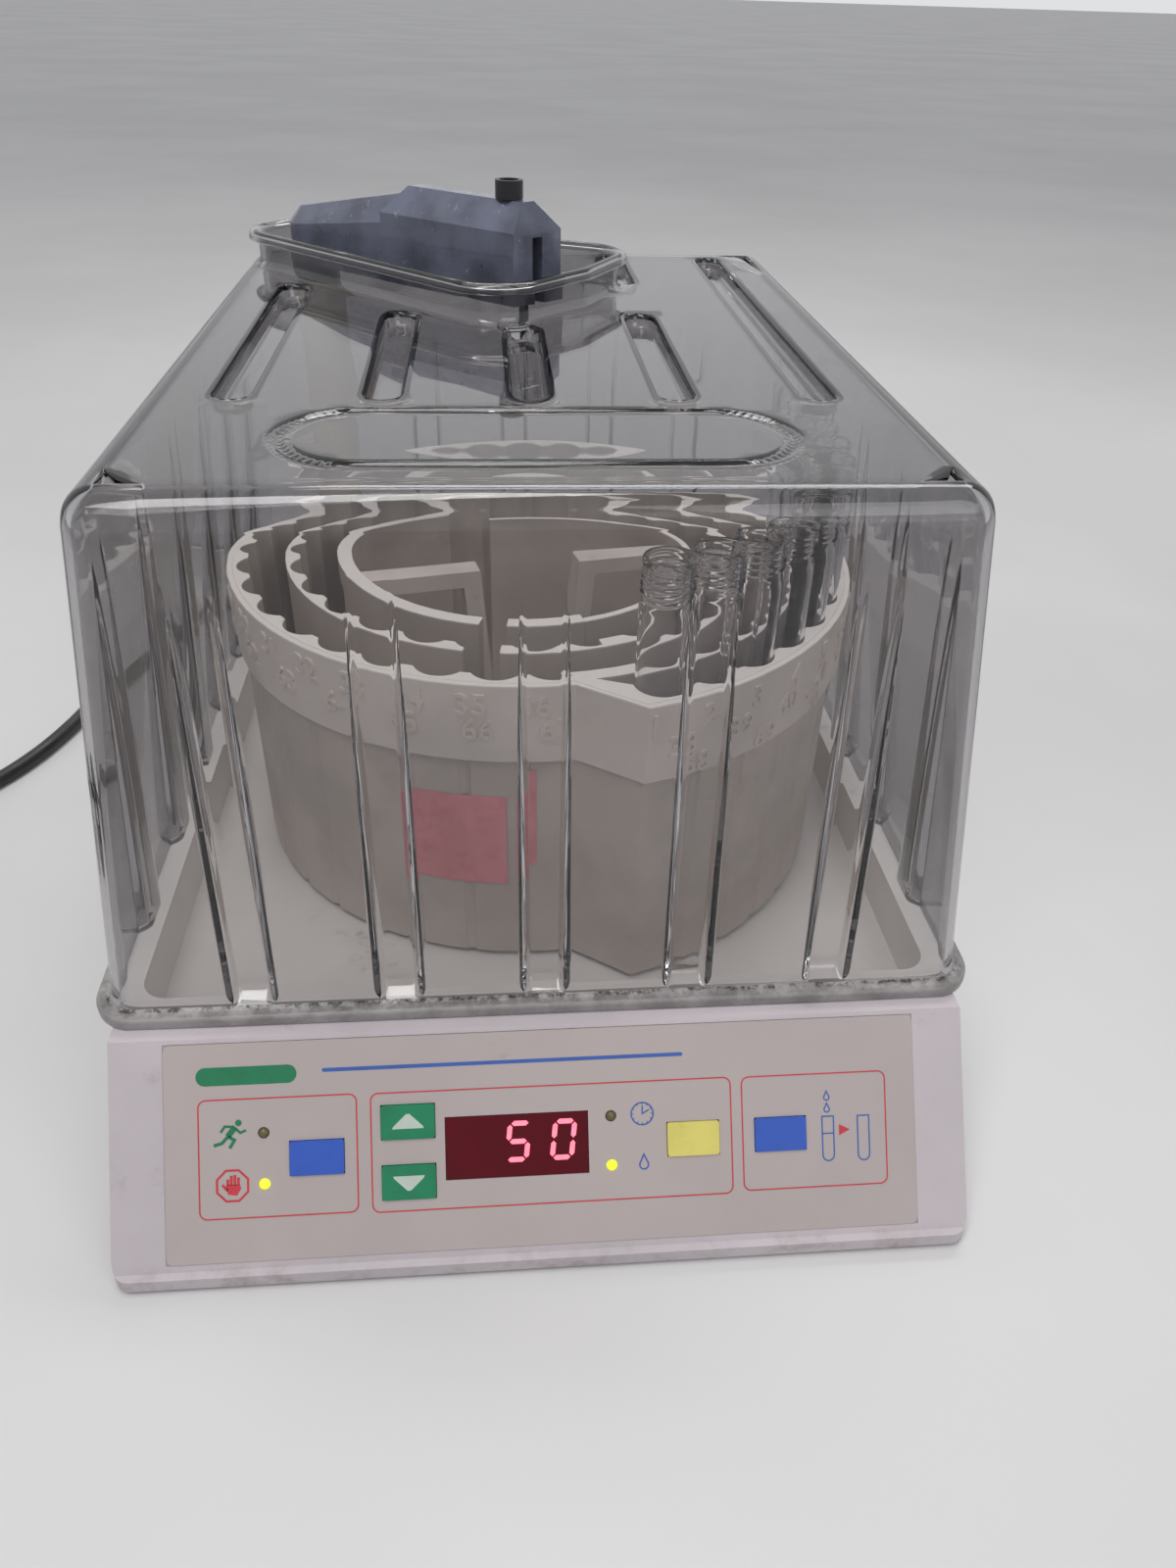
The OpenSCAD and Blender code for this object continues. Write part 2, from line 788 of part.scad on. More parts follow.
module arm_hub() {
    color([0.25, 0.28, 0.34])
        at_pivot(post_top_z + 1)
            difference() {
                cylinder(d = arm_w - 3, h = arm_z - post_top_z - 1);
                translate([0, 0, -1]) cylinder(d = shaft_d, h = 20);
            }
}

slot_w = 4.6;
screw_along = arm_l - 7;
module arm_beam() {
    half = arm_w / 2;
    neck_half = half - 1;
    color([0.25, 0.28, 0.34])
        difference() {
            union() {
                // tip half: upright sides under a hipped top
                hull() {
                    along_arm(0, 0, arm_z) linear_extrude(arm_eave_z - arm_z)
                        polygon([[50, -half], [arm_tip - 4, -half], [arm_tip, half], [50, half]]);
                    along_arm(0, 0, arm_top_z - 0.1) linear_extrude(0.1)
                        polygon([[58, -3], [arm_tip - 7, -3], [arm_tip - 6, 3], [58, 3]]);
                }
                // pivot half, lower, rounded at its end
                hull() {
                    along_arm(0, 0, arm_z) cylinder(r = neck_half, h = 14, $fn = 32);
                    along_arm(0, 0, arm_z) cylinder(r = neck_half - 5, h = 20, $fn = 32);
                    along_arm(52, 0, arm_z) linear_extrude(20) square([8, 2 * neck_half], center = true);
                    along_arm(56, 0, arm_z) linear_extrude(30) square([4, 8], center = true);
                }
            }
            // slot for the drip nozzle, open below and at the tip
            along_arm(arm_l - 3, -slot_w / 2, arm_z - 1) cube([20, slot_w, arm_eave_z - arm_z - 1]);
            along_arm(screw_along, 0, arm_eave_z - 6) cylinder(d = 3.2, h = 40, $fn = 24);
        }
}

module drip_nozzle() {
    color([0.08, 0.08, 0.08])
        along_arm(arm_l, 0, 0)
            difference() {
                union() {
                    translate([0, 0, rack_top_z + 46]) cylinder(d = 4, h = arm_eave_z - 2 - (rack_top_z + 46), $fn = 32);
                    translate([0, 0, rack_top_z + 46]) cylinder(d = 3, h = 4, $fn = 32);
                }
                cylinder(d = 1.6, h = 300, $fn = 24);
            }
}

knob_d = 10;
module thumb_screw() {
    color([0.08, 0.08, 0.09])
        along_arm(screw_along, 0, 0)
            difference() {
                union() {
                    translate([0, 0, arm_top_z + fit]) cylinder(d = knob_d, h = 6);
                    translate([0, 0, arm_eave_z - 5]) cylinder(d = 3, h = arm_top_z + 2 - arm_eave_z + 5, $fn = 24);
                }
                translate([0, 0, arm_top_z + fit + 4]) cylinder(d = knob_d - 3, h = 3);
            }
}

// --------------------------------------------------------------- cover
// Drafted box with rounded edges, drawn in by an inset
side_draft = atan(cover_draft / cover_h);
module cover_form(inset, z0) {
    r = cover_r - inset * 0.6;
    ball_z = cover_top_z - inset - r;
    ball_in = inset + (ball_z - base_h) * tan(side_draft) + r / cos(side_draft);
    ball_x = cover_w / 2 - ball_in;
    ball_y = cover_d / 2 - ball_in;
    hull() {
        translate([0, cover_mid_y, z0])
            linear_extrude(0.1)
                rounded_rect(cover_w - 2 * inset, cover_d - 2 * inset, r, $fn = 32);
        for (x = [-1, 1], y = [-1, 1])
            translate([x * ball_x, cover_mid_y + y * ball_y, ball_z]) sphere(r, $fn = 32);
    }
}

module lobe(x, y, r) translate([x, y]) circle(r, $fn = 48);
// Plan of the opening that the arm swings in, grown by g
module collar_plan(g) {
    tip_r = norm([arm_tip - arm_l, arm_w / 2]) + arm_clear + g;
    translate(pivot) rotate(arm_dir)
        hull() {
            lobe(0, 0, post_d / 2 + 11 + g);
            for (a = [swing_in, (swing_in + swing_out) / 2, swing_out])
                lobe(arm_l * cos(a), arm_l * sin(a), tip_r);
        }
}

groove_foot_z = base_h + lip_h + 2;
groove_top_z = cover_top_z - 26;
front_groove_n = 2;
side_groove_ys = [for (k = [0:5]) cover_front_y + 40.5 + 44.5 * k];

// Upright groove on a leaning wall: deepest at the foot, fading to nothing
module wall_groove(g) {
    w = groove_w / 2 + g;
    h = groove_top_z - groove_foot_z;
    hull() {
        translate([-w, -2, -g]) cube([2 * w, 2 + groove_d + g, 0.1]);
        translate([-w, -2, h + g]) cube([2 * w, 2.1 + g, 0.1]);
    }
}

// Puts a groove on the wall that faces -y, turned by a about z
module on_wall(a, x, reach) {
    rise = groove_foot_z - base_h;
    translate([0, cover_mid_y, 0]) rotate([0, 0, a])
        translate([x, -reach + rise * tan(side_draft), groove_foot_z])
            rotate([-side_draft, 0, 0]) children();
}

module all_grooves(g) {
    for (k = [-front_groove_n:front_groove_n])
        for (a = [0, 180])
            on_wall(a, k * groove_pitch, cover_d / 2) wall_groove(g);
    for (y = side_groove_ys, a = [-90, 90])
        on_wall(a, sign(a) * (y - cover_mid_y), cover_w / 2) wall_groove(g);
}

channel_front_y = cover_front_y + 90 + groove_w / 2;
channels = [[-2, 239], [-1, 196], [0, 178], [1, 196], [2, 302]];
module channel(x, y0, y1, g) {
    translate([0, 0, cover_top_z - groove_d - g])
        linear_extrude(groove_d + 5)
            hull() {
                translate([x, y0]) circle(groove_w / 2 + g, $fn = 24);
                translate([x, y1]) circle(groove_w / 2 + g, $fn = 24);
            }
}

module all_channels(g) {
    for (c = channels)
        channel(c[0] * groove_pitch, channel_front_y, cover_front_y + c[1] - groove_w / 2, g);
    channel(groove_pitch, cover_front_y + 251, cover_front_y + 294, g);
}

module dust_cover() {
    color([0.45, 0.46, 0.48, 0.45])
        difference() {
            union() {
                difference() {
                    cover_form(0, base_h);
                    all_grooves(0);
                    all_channels(0);
                }
                // rolled lip around the foot
                translate([0, cover_mid_y, base_h])
                    linear_extrude(lip_h)
                        rounded_rect(cover_w + 2 * lip_out, cover_d + 2 * lip_out, cover_r + lip_out, $fn = 32);
                // collar and its lip
                translate([0, 0, cover_top_z - 3]) linear_extrude(collar_h + 3) collar_plan(cover_t);
                translate([0, 0, cover_top_z + collar_h - 2]) linear_extrude(2) collar_plan(cover_t + 3.5);
            }
            difference() {
                cover_form(cover_t, base_h - 0.1);
                all_grooves(cover_t);
                all_channels(cover_t);
            }
            translate([0, 0, cover_top_z - 20]) linear_extrude(60) collar_plan(0);
        }
}

// ---------------------------------------------------------------- rear
module power_inlet() {
    color([0.1, 0.1, 0.1])
        translate([inlet_at[0], base_rear_y, inlet_at[1]])
            difference() {
                union() {
                    translate([0, -8, 0]) cube([inlet_size[0], 16 + 1, inlet_size[1]], center = true);
                    translate([0, 1, 0]) cube([inlet_size[0] + 6, 2, inlet_size[1] + 6], center = true);
                }
                translate([0, -4, 0]) cube([connector_size[0] + 2 * fit, 14.1, connector_size[2] + 2 * fit], center = true);
            }
}

module switch_frame() {
    color([0.08, 0.08, 0.08])
        translate([switch_at[0], base_rear_y, switch_at[1]])
            difference() {
                union() {
                    translate([0, -7, 0]) cube([switch_size[0], 14 + 0.1, switch_size[1]], center = true);
                    translate([0, 1, 0]) cube([switch_size[0] + 4, 2, switch_size[1] + 4], center = true);
                }
                translate([0, -1, 0]) cube([rocker_w + 2 * fit, 8.1, rocker_l + 2], center = true);
            }
}
rocker_w = 9;
rocker_l = 13;
trunnion_d = 2.4;
trunnion_out = 0.2;

module switch_rocker() {
    color([0.15, 0.15, 0.16])
        translate([switch_at[0], base_rear_y - 1, switch_at[1]])
            rotate([90, 0, 90])
                translate([0, 0, -rocker_w / 2]) {
                    linear_extrude(rocker_w)
                        polygon([[-2.4, 0], [1, -rocker_l / 2], [2.6, -rocker_l / 2 + 0.4], [2.0, 0],
                                 [3.8, rocker_l / 2 - 0.9], [2.2, rocker_l / 2]]);
                    translate([0, 0, -trunnion_out])
                        cylinder(d = trunnion_d, h = rocker_w + 2 * trunnion_out, $fn = 32);
                }
}

connector_size = [21, 30, 15];
connector_y = base_rear_y + 2;
module cord_connector() {
    color([0.06, 0.06, 0.06])
        translate([inlet_at[0], 0, inlet_at[1]]) {
            translate([-connector_size[0] / 2, connector_y - 12, -connector_size[2] / 2])
                cube([connector_size[0], 12 + connector_size[1], connector_size[2]]);
            translate([0, connector_y + connector_size[1] + relief_l, 0])
                rotate([90, 0, 0]) cylinder(d1 = cord_d + 3, d2 = 12, h = relief_l, $fn = 32);
        }
}
relief_l = 24;

// ---------------------------------------------------------------- lead
// Route of the free stretch, from the connector down to the table and round
// the left side of the base. Its points are chosen by hand.
cord_z = cord_d / 2;
cord_route = [
    [inlet_at[0], connector_y + connector_size[1] + relief_l, inlet_at[1]],
    [inlet_at[0], 252, 30], [-84, 261, 29], [-86, 271, 25], [-91, 280, 18.5], [-99, 287, 11.5],
    [-110, 290, 6.5], [-123, 289, 3.5], [-138, 283, 3.5], [-154, 271, 3.5], [-169, 255, 3.5],
    [-182, 236, 3.5], [-193, 214, 3.5], [-203, 190, 3.5], [-211, 165, 3.5], [-218, 139, 3.5],
    [-224, 113, 3.5], [-232, 89, 3.5], [-243, 68, 3.5], [-258, 50, 3.5], [-276, 37, 3.5],
    [-296, 27.5, 3.5], [-307, 24.9, 3.5], [-318, 24, 3.5]];
coil_in = 27;
coil_gap = 0.7;
coil_dip = 1.6;
coil_pitch = cord_d + coil_gap;
coil_turns = 3;
coil_out = coil_in + coil_turns * coil_pitch;
coil_c = [-318, 24 - coil_out];

// Loops: inwards on the table, up one layer in half a turn, then outwards
function coil_r(s) =
    s <= coil_turns ? coil_out - coil_pitch * s :
    s <= coil_turns + 0.5 ? coil_in - coil_dip * sin(360 * (s - coil_turns)) :
    coil_in + coil_pitch * (s - coil_turns - 0.5);
function smooth(x) = x * x * (3 - 2 * x);
function coil_z(s) =
    cord_z + coil_pitch * smooth(max(0, min(1, (s - coil_turns) / 0.5)));
function coil_point(s) = [
    coil_c[0] - coil_r(s) * sin(360 * s),
    coil_c[1] + coil_r(s) * cos(360 * s),
    coil_z(s)];
coil_rings = 24;
coil_end = 2 * coil_turns + 0.25;
coil_tail = [
    [-366.3, -36, 11.1], [-366.9, -46, 10.5], [-368, -56, 9.7], [-369.2, -66, 9.3], [-370.1, -76, 9.7],
    [-370.6, -84, 10.5], [-370.8, -92, 11], [-370.8, -100, 11]];
coil_path = concat(
    [for (i = [0:round(coil_end * coil_rings)]) coil_point(i / coil_rings)], coil_tail);

function unit(v) = v / norm(v);
function tangent(p, i) = unit(p[min(i + 1, len(p) - 1)] - p[max(i - 1, 0)]);
// Tube swept along a list of points; its first and last rings are square to it
module swept(path, r, sides) {
    n = len(path);
    function ring(i) =
        let (t = tangent(path, i), s = unit(cross(t, [0, 0, 1])), u = cross(s, t))
        [for (k = [0:sides - 1])
            path[i] + r * (cos(360 * k / sides) * s + sin(360 * k / sides) * u)];
    pts = [for (i = [0:n - 1]) each ring(i)];
    side_faces = [
        for (i = [0:n - 2], k = [0:sides - 1])
            let (a = i * sides + k, b = i * sides + (k + 1) % sides)
            each [[a, b, b + sides], [a, b + sides, a + sides]]];
    caps = concat(
        [for (k = [1:sides - 2]) [0, k + 1, k]],
        [for (k = [1:sides - 2]) [(n - 1) * sides, (n - 1) * sides + k, (n - 1) * sides + k + 1]]);
    polyhedron(points = pts, faces = concat(side_faces, caps), convexity = 10);
}

module power_cord() {
    color([0.05, 0.05, 0.05]) swept(cord_route, cord_d / 2, 8);
}
module cord_coil() {
    color([0.05, 0.05, 0.05]) swept(coil_path, cord_d / 2, 6);
}

function path_len(p) = [for (i = 0, s = 0; i < len(p); s = s + (i + 1 < len(p) ? norm(p[i + 1] - p[i]) : 0), i = i + 1) s][len(p) - 1];
coil_gap_least = min([
    for (i = [0:3:len(coil_path) - 1], j = [i + 12:1:len(coil_path) - 1])
        norm(coil_path[i] - coil_path[j])]) - cord_d;
echo(cord_length = path_len(cord_route) + path_len(coil_path), coil_gap_least = coil_gap_least,
     outer_places = len(places(0, 1)), middle_places = len(places(1, 2)), last_turn = tube_turns[tube_places - 1]);

plug_size = [26, 34, 22];
module mains_plug() {
    e = coil_tail[len(coil_tail) - 1];
    color([0.06, 0.06, 0.06])
        translate([e[0], e[1], e[2]]) {
            rotate([90, 0, 0]) cylinder(d1 = cord_d + 2, d2 = 13, h = 12, $fn = 32);
            translate([-plug_size[0] / 2, -12 - plug_size[1], -plug_size[2] / 2])
                cube(plug_size);
            for (x = [-6.4, 6.4])
                translate([x - 0.75, -12 - plug_size[1] - 16, 0]) cube([1.5, 17, 6.4]);
            translate([0, -12 - plug_size[1] + 1, -6])
                rotate([90, 0, 0]) cylinder(d = 4.8, h = 20, $fn = 24);
        }
}

base_shell();
bottom_plate();
rubber_feet();
base_screws();
deck_tray();
front_overlay();
display_window();
digit_display();
status_lamps();
key_start();
key_up();
key_down();
key_mode();
key_step();
control_board();
transformer();
rack_motor();
rack_pinion();
drive_gear();
spindle();
spindle_bushes();
turntable_hub();
rack_floor();
rack_rim();
rack_wall_outer();
rack_wall_middle();
rack_wall_inner();
rack_wall_core();
rack_handles();
rack_label();
arm_motor();
arm_pinion();
arm_sector();
arm_shaft();
arm_post();
arm_bushes();
arm_hub();
arm_beam();
drip_nozzle();
thumb_screw();
dust_cover();
power_inlet();
switch_frame();
switch_rocker();
cord_connector();
power_cord();
cord_coil();
mains_plug();
for (i = [0:tube_count - 1])
    tube(i);
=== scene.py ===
"""Looks of the bench fraction collector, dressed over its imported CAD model.

Lengths are in metres in the model's frame: +Z up, -Y towards the front panel, +X to the user's right.
The sizes that the CAD source also states stand at the top of each section in millimetres, times MM.
"""

import math

import bmesh
import bpy
import numpy as np
from mathutils import Matrix, Vector
from mathutils.geometry import delaunay_2d_cdt


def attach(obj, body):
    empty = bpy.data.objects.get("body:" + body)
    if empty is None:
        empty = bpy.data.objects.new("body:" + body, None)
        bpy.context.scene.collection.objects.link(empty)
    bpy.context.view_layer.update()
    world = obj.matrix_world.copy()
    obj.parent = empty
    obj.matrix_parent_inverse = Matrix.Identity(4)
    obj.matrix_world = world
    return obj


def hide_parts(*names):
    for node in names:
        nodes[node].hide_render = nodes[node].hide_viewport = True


MM = 0.001
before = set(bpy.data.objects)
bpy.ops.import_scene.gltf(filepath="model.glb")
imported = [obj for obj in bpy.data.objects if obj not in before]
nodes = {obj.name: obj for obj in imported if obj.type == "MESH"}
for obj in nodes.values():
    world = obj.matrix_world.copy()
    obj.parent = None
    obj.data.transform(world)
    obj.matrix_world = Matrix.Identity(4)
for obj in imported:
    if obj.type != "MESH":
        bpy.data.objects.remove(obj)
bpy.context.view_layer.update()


# ---------------------------------------------------------------- camera
PHOTO_FOCAL_PX, PHOTO_HEIGHT_PX, SENSOR = 1150.1, 1600, 36.0
CAMERA_AT = Vector((-12.8, -382.2, 311.7)) * MM
CAMERA_PITCH, CAMERA_YAW, CAMERA_ROLL = 35.26, -5.65, 1.83


def make_camera():
    """The photograph's view: pitched down, turned a little to the right and rolled a little."""
    data = bpy.data.cameras.new("camera")
    data.sensor_width = SENSOR
    data.lens = PHOTO_FOCAL_PX / PHOTO_HEIGHT_PX * SENSOR
    data.clip_start, data.clip_end = 0.01, 200
    camera = bpy.data.objects.new("camera", data)
    bpy.context.scene.collection.objects.link(camera)
    turn = (
        Matrix.Rotation(math.radians(CAMERA_YAW), 4, "Z")
        @ Matrix.Rotation(math.radians(90 - CAMERA_PITCH), 4, "X")
        @ Matrix.Rotation(math.radians(CAMERA_ROLL), 4, "Z")
    )
    camera.matrix_world = Matrix.Translation(CAMERA_AT) @ turn
    bpy.context.scene.camera = camera


make_camera()


# ------------------------------------------------------------- materials
def srgb(r, g, b):
    """A colour in 0-255 screen values, as linear light with alpha 1."""
    linear = [
        c / 255 / 12.92 if c <= 10 else ((c / 255 + 0.055) / 1.055) ** 2.4
        for c in (r, g, b)
    ]
    return (*linear, 1.0)


class Look:
    """A node material under construction, around one Principled shader."""

    def __init__(self, name):
        self.material = bpy.data.materials.new(name)
        self.material.use_nodes = True
        self.tree = self.material.node_tree
        self.shader = self.tree.nodes["Principled BSDF"]
        self.place = self.add("TexCoord", out="Object")

    def put(self, socket, value):
        """Links an output to a socket, or sets the socket's own value."""
        if isinstance(value, bpy.types.NodeSocket):
            self.tree.links.new(value, socket)
        else:
            socket.default_value = value

    def add(self, kind, inputs=None, out=0, **settings):
        """A new node with its inputs linked or set; returns one of its outputs."""
        node = self.tree.nodes.new("ShaderNode" + kind)
        for key, value in settings.items():
            setattr(node, key, value)
        for key, value in (inputs or {}).items():
            self.put(node.inputs[key], value)
        return node.outputs[out]

    def set(self, **inputs):
        """Links or sets the Principled shader's inputs, with _ for a space in their names."""
        for key, value in inputs.items():
            self.put(self.shader.inputs[key.replace("_", " ")], value)
        return self

    def noise(self, scale, detail=3, rough=0.55, stretch=None):
        """Noise by place on the object. scale is in waves per metre."""
        place = self.place
        if stretch:
            place = self.add("Mapping", {"Vector": place, "Scale": stretch})
        return self.add(
            "TexNoise",
            {"Vector": place, "Scale": scale, "Detail": detail, "Roughness": rough},
        )

    def band(self, value, low, high, to_low=0.0, to_high=1.0):
        """value mapped from low..high to to_low..to_high, held at the ends."""
        return self.add(
            "MapRange",
            {0: value, 1: low, 2: high, 3: to_low, 4: to_high},
            interpolation_type="SMOOTHSTEP",
        )

    def mix(self, share, a, b):
        return self.add("Mix", {0: share, 6: a, 7: b}, out=2, data_type="RGBA")

    def times(self, a, b):
        return self.add("Math", {0: a, 1: b}, operation="MULTIPLY")

    def height(self):
        """The point's height above the table, in metres."""
        return self.add("SeparateXYZ", {0: self.place}, out="Z")

    def bump(self, height, strength, distance=0.0002):
        normal = self.add(
            "Bump", {"Height": height, "Strength": strength, "Distance": distance}
        )
        return self.set(Normal=normal)


def shade(colour, by):
    """The colour made darker or lighter by a factor."""
    return (*[min(1.0, c * by) for c in colour[:3]], 1.0)


GLOSS_PATCH, GLOSS_SPREAD = 90, 0.08
DIRT_EDGE, DIRT_SHARE = 0.14, 0.55


def solid(name, colour, rough=0.5, tone=0.1, patch=30, grain=1400, bump=0.15,
          dirt=None, dirt_from=0.6, metallic=0.0):
    """An opaque finish: uneven tone, patches of dirt, fine grain and uneven gloss."""
    look = Look(name)
    colour_out = look.mix(
        look.band(look.noise(patch), 0.35, 0.65), shade(colour, 1 - tone), shade(colour, 1 + tone / 2)
    )
    if dirt:
        spots = look.band(look.noise(patch * 3, 6, 0.65), dirt_from, dirt_from + DIRT_EDGE)
        colour_out = look.mix(look.times(spots, DIRT_SHARE), colour_out, dirt)
    gloss = look.band(
        look.noise(GLOSS_PATCH, 4), 0.3, 0.7, max(rough - GLOSS_SPREAD, 0.02), rough + GLOSS_SPREAD
    )
    look.set(Base_Color=colour_out, Roughness=gloss, Metallic=metallic)
    look.bump(look.noise(grain, 2), bump)
    return look


EDGE_DARKER = 0.62


def clear(name, colour, ior, wave, lamp_tint=None, wavy=0.05, deep=None):
    """Clear plastic or glass that bends light and lets the lamps through to what is inside.

    deep is (low, high, factor): painted shade, the colour fading to factor times itself between these two
    heights.
    """
    look = Look(name)
    edge = look.add("LayerWeight", {"Blend": 0.35}, out="Facing")
    tint = look.mix(look.band(edge, 0.4, 1.0), colour, shade(colour, EDGE_DARKER))
    # Painted shade: the colour darkens towards the top of the sheet.
    if deep:
        low, high, factor = deep
        tint = look.mix(look.band(look.height(), low, high), tint, shade(colour, factor))
    look.set(Base_Color=tint, Transmission_Weight=1.0, IOR=ior, Roughness=0.0)
    look.bump(look.noise(wave, 2), wavy, 0.004)
    through = look.add("BsdfTransparent", {"Color": lamp_tint or colour})
    path = look.tree.nodes.new("ShaderNodeLightPath")
    rays = {0: path.outputs["Is Shadow Ray"], 1: path.outputs["Is Diffuse Ray"]}
    lamp_ray = look.add("Math", rays, operation="MAXIMUM")
    both = look.add("MixShader", {0: lamp_ray, 1: look.shader.outputs[0], 2: through})
    look.put(look.tree.nodes["Material Output"].inputs["Surface"], both)
    return look


SOFTEN_FROM_ANGLE = 32


def dress(names, look, bevel=None, segments=2):
    """Gives CAD nodes a material and, where asked, edges softened by a bevel in mm."""
    for name in names.split():
        node = nodes[name]
        node.data.materials.clear()
        node.data.materials.append(look.material)
        if bevel:
            node.modifiers.new("weld", "WELD").merge_threshold = 2e-6
            soft = node.modifiers.new("soft_edges", "BEVEL")
            soft.width, soft.segments = bevel * MM, segments
            soft.limit_method, soft.angle_limit = "ANGLE", math.radians(SOFTEN_FROM_ANGLE)
            node.modifiers.new("normals", "WEIGHTED_NORMAL").keep_sharp = False


# ---------------------------------------------------------------- pieces
def new_piece(name, mesh, body, look, smooth=True):
    """A mesh piece that rides on a body."""
    piece = bpy.data.objects.new(name, mesh)
    bpy.context.scene.collection.objects.link(piece)
    mesh.materials.clear()
    mesh.materials.append(look.material)
    if smooth:
        mesh.polygons.foreach_set("use_smooth", [True] * len(mesh.polygons))
    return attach(piece, body)


def mesh_from(name, points, faces):
    mesh = bpy.data.meshes.new(name)
    mesh.from_pydata([tuple(p) for p in points], [], faces)
    mesh.update()
    return mesh


def lathe(name, profile, steps, radius_at=None):
    """A closed surface of revolution. profile holds (radius, z); radius_at may change a radius by angle."""
    points, faces = [], []
    for k in range(steps):
        a = 2 * math.pi * k / steps
        for i, (r, z) in enumerate(profile):
            r = radius_at(i, r, z, a) if radius_at else r
            points.append((r * math.cos(a), r * math.sin(a), z))
    n = len(profile)
    for k in range(steps):
        a, b = k * n, (k + 1) % steps * n
        faces += [(a + i, b + i, b + i + 1, a + i + 1) for i in range(n - 1)]
    mesh = mesh_from(name, points, faces)
    bm = bmesh.new()
    bm.from_mesh(mesh)
    bmesh.ops.remove_doubles(bm, verts=bm.verts, dist=1e-6)
    bmesh.ops.recalc_face_normals(bm, faces=bm.faces)
    bm.to_mesh(mesh)
    bm.free()
    return mesh


# ------------------------------------------------------------------ lead
# The same route as the CAD lead, in mm: free stretch, coil, tail to the plug
LEAD_D = 7
LEAD_EXIT = (-84, 243.8, 30)
LEAD_ROUTE = [
    LEAD_EXIT, (-84, 252, 30), (-84, 261, 29), (-86, 271, 25), (-91, 280, 18.5), (-99, 287, 11.5),
    (-110, 290, 6.5), (-123, 289, 3.5), (-138, 283, 3.5), (-154, 271, 3.5), (-169, 255, 3.5),
    (-182, 236, 3.5), (-193, 214, 3.5), (-203, 190, 3.5), (-211, 165, 3.5), (-218, 139, 3.5),
    (-224, 113, 3.5), (-232, 89, 3.5), (-243, 68, 3.5), (-258, 50, 3.5), (-276, 37, 3.5),
    (-296, 27.5, 3.5), (-307, 24.9, 3.5)]
LEAD_TAIL = [
    (-366.3, -36, 11.1), (-366.9, -46, 10.5), (-368, -56, 9.7), (-369.2, -66, 9.3), (-370.1, -76, 9.7),
    (-370.6, -84, 10.5), (-370.8, -92, 11), (-370.8, -100, 11)]
COIL_INNER, COIL_PITCH, COIL_TURNS, COIL_DIP, COIL_END = 27, 7.7, 3, 1.6, 6.25
COIL_OUTER = COIL_INNER + COIL_TURNS * COIL_PITCH
COIL_CENTRE = (-318, 24 - COIL_OUTER)
COIL_STEPS = 60


def coil_point(s):
    """A point of the coil after s loops: inwards on the table, up a layer, then outwards."""
    climb = min(max((s - COIL_TURNS) / 0.5, 0), 1)
    if s <= COIL_TURNS:
        r = COIL_OUTER - COIL_PITCH * s
    elif s <= COIL_TURNS + 0.5:
        r = COIL_INNER - COIL_DIP * math.sin(2 * math.pi * (s - COIL_TURNS))
    else:
        r = COIL_INNER + COIL_PITCH * (s - COIL_TURNS - 0.5)
    a = 2 * math.pi * s
    z = LEAD_D / 2 + COIL_PITCH * climb * climb * (3 - 2 * climb)
    return (COIL_CENTRE[0] - r * math.sin(a), COIL_CENTRE[1] + r * math.cos(a), z)


def smoothed(points, steps):
    """A Catmull-Rom line through the points."""
    p = [Vector(q) for q in points]
    p = [2 * p[0] - p[1], *p, 2 * p[-1] - p[-2]]
    line = []
    for i in range(1, len(p) - 2):
        a, b, c, d = p[i - 1 : i + 3]
        slope, bend, twist = c - a, 2 * a - 5 * b + 4 * c - d, 3 * b - a - 3 * c + d
        for k in range(steps):
            t = k / steps
            line.append(0.5 * (2 * b + slope * t + bend * t * t + twist * t ** 3))
    return [*line, p[-2]]


def make_lead():
    """The mains lead as one round cord from the connector to the plug."""
    coil = [coil_point(k / COIL_STEPS) for k in range(round(COIL_END * COIL_STEPS) + 1)]
    line = (
        smoothed([*LEAD_ROUTE, coil[0]], 6)
        + [Vector(p) for p in coil[1:-1]]
        + smoothed([coil[-1], *LEAD_TAIL], 4)
    )
    curve = bpy.data.curves.new("mains_lead", "CURVE")
    curve.dimensions = "3D"
    curve.bevel_depth, curve.bevel_resolution, curve.use_fill_caps = LEAD_D / 2 * MM, 5, True
    spline = curve.splines.new("POLY")
    spline.points.add(len(line) - 1)
    for point, at in zip(spline.points, line):
        point.co = (*(at * MM), 1)
    black = solid("lead_black", srgb(26, 26, 28), 0.42, tone=0.12, patch=60, grain=500, bump=0.1)
    curve.materials.append(black.material)
    lead = bpy.data.objects.new("mains_lead", curve)
    bpy.context.scene.collection.objects.link(lead)
    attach(lead, "base")
    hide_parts("power_cord", "cord_coil")


make_lead()


# ----------------------------------------------------------------- cover
# The flat top is darker than the walls: partly as it was drawn out less when the sheet was formed, and
# partly painted shade for the dark reflection on the top
SMOKE = clear("smoky_plastic", srgb(194, 192, 194), 1.49, 11,
              lamp_tint=srgb(252, 252, 251), deep=(204 * MM, 213.5 * MM, 0.78))
LIP_Z = 64.6
LIP_FOLD_DARK_Z = (63.8, 64.3)


def lip_haze():
    """The scuffed plastic of the lip, darker in patches where it meets the wall."""
    look = Look("cover_lip_haze")
    foot = look.band(look.height(), *[z * MM for z in LIP_FOLD_DARK_Z])
    # Darker in patches on the narrow ledge where the lip meets the wall.
    fold_dark = look.times(foot, look.band(look.noise(260, 7, 0.75), 0.42, 0.6))
    tone = look.mix(look.band(look.noise(70, 5, 0.7), 0.35, 0.65), srgb(166, 162, 162), srgb(202, 198, 198))
    look.set(Base_Color=look.mix(fold_dark, tone, srgb(52, 46, 42)),
             Transmission_Weight=0.45, IOR=1.3, Roughness=0.28)
    return look.bump(look.noise(500, 4, 0.7), 0.2)


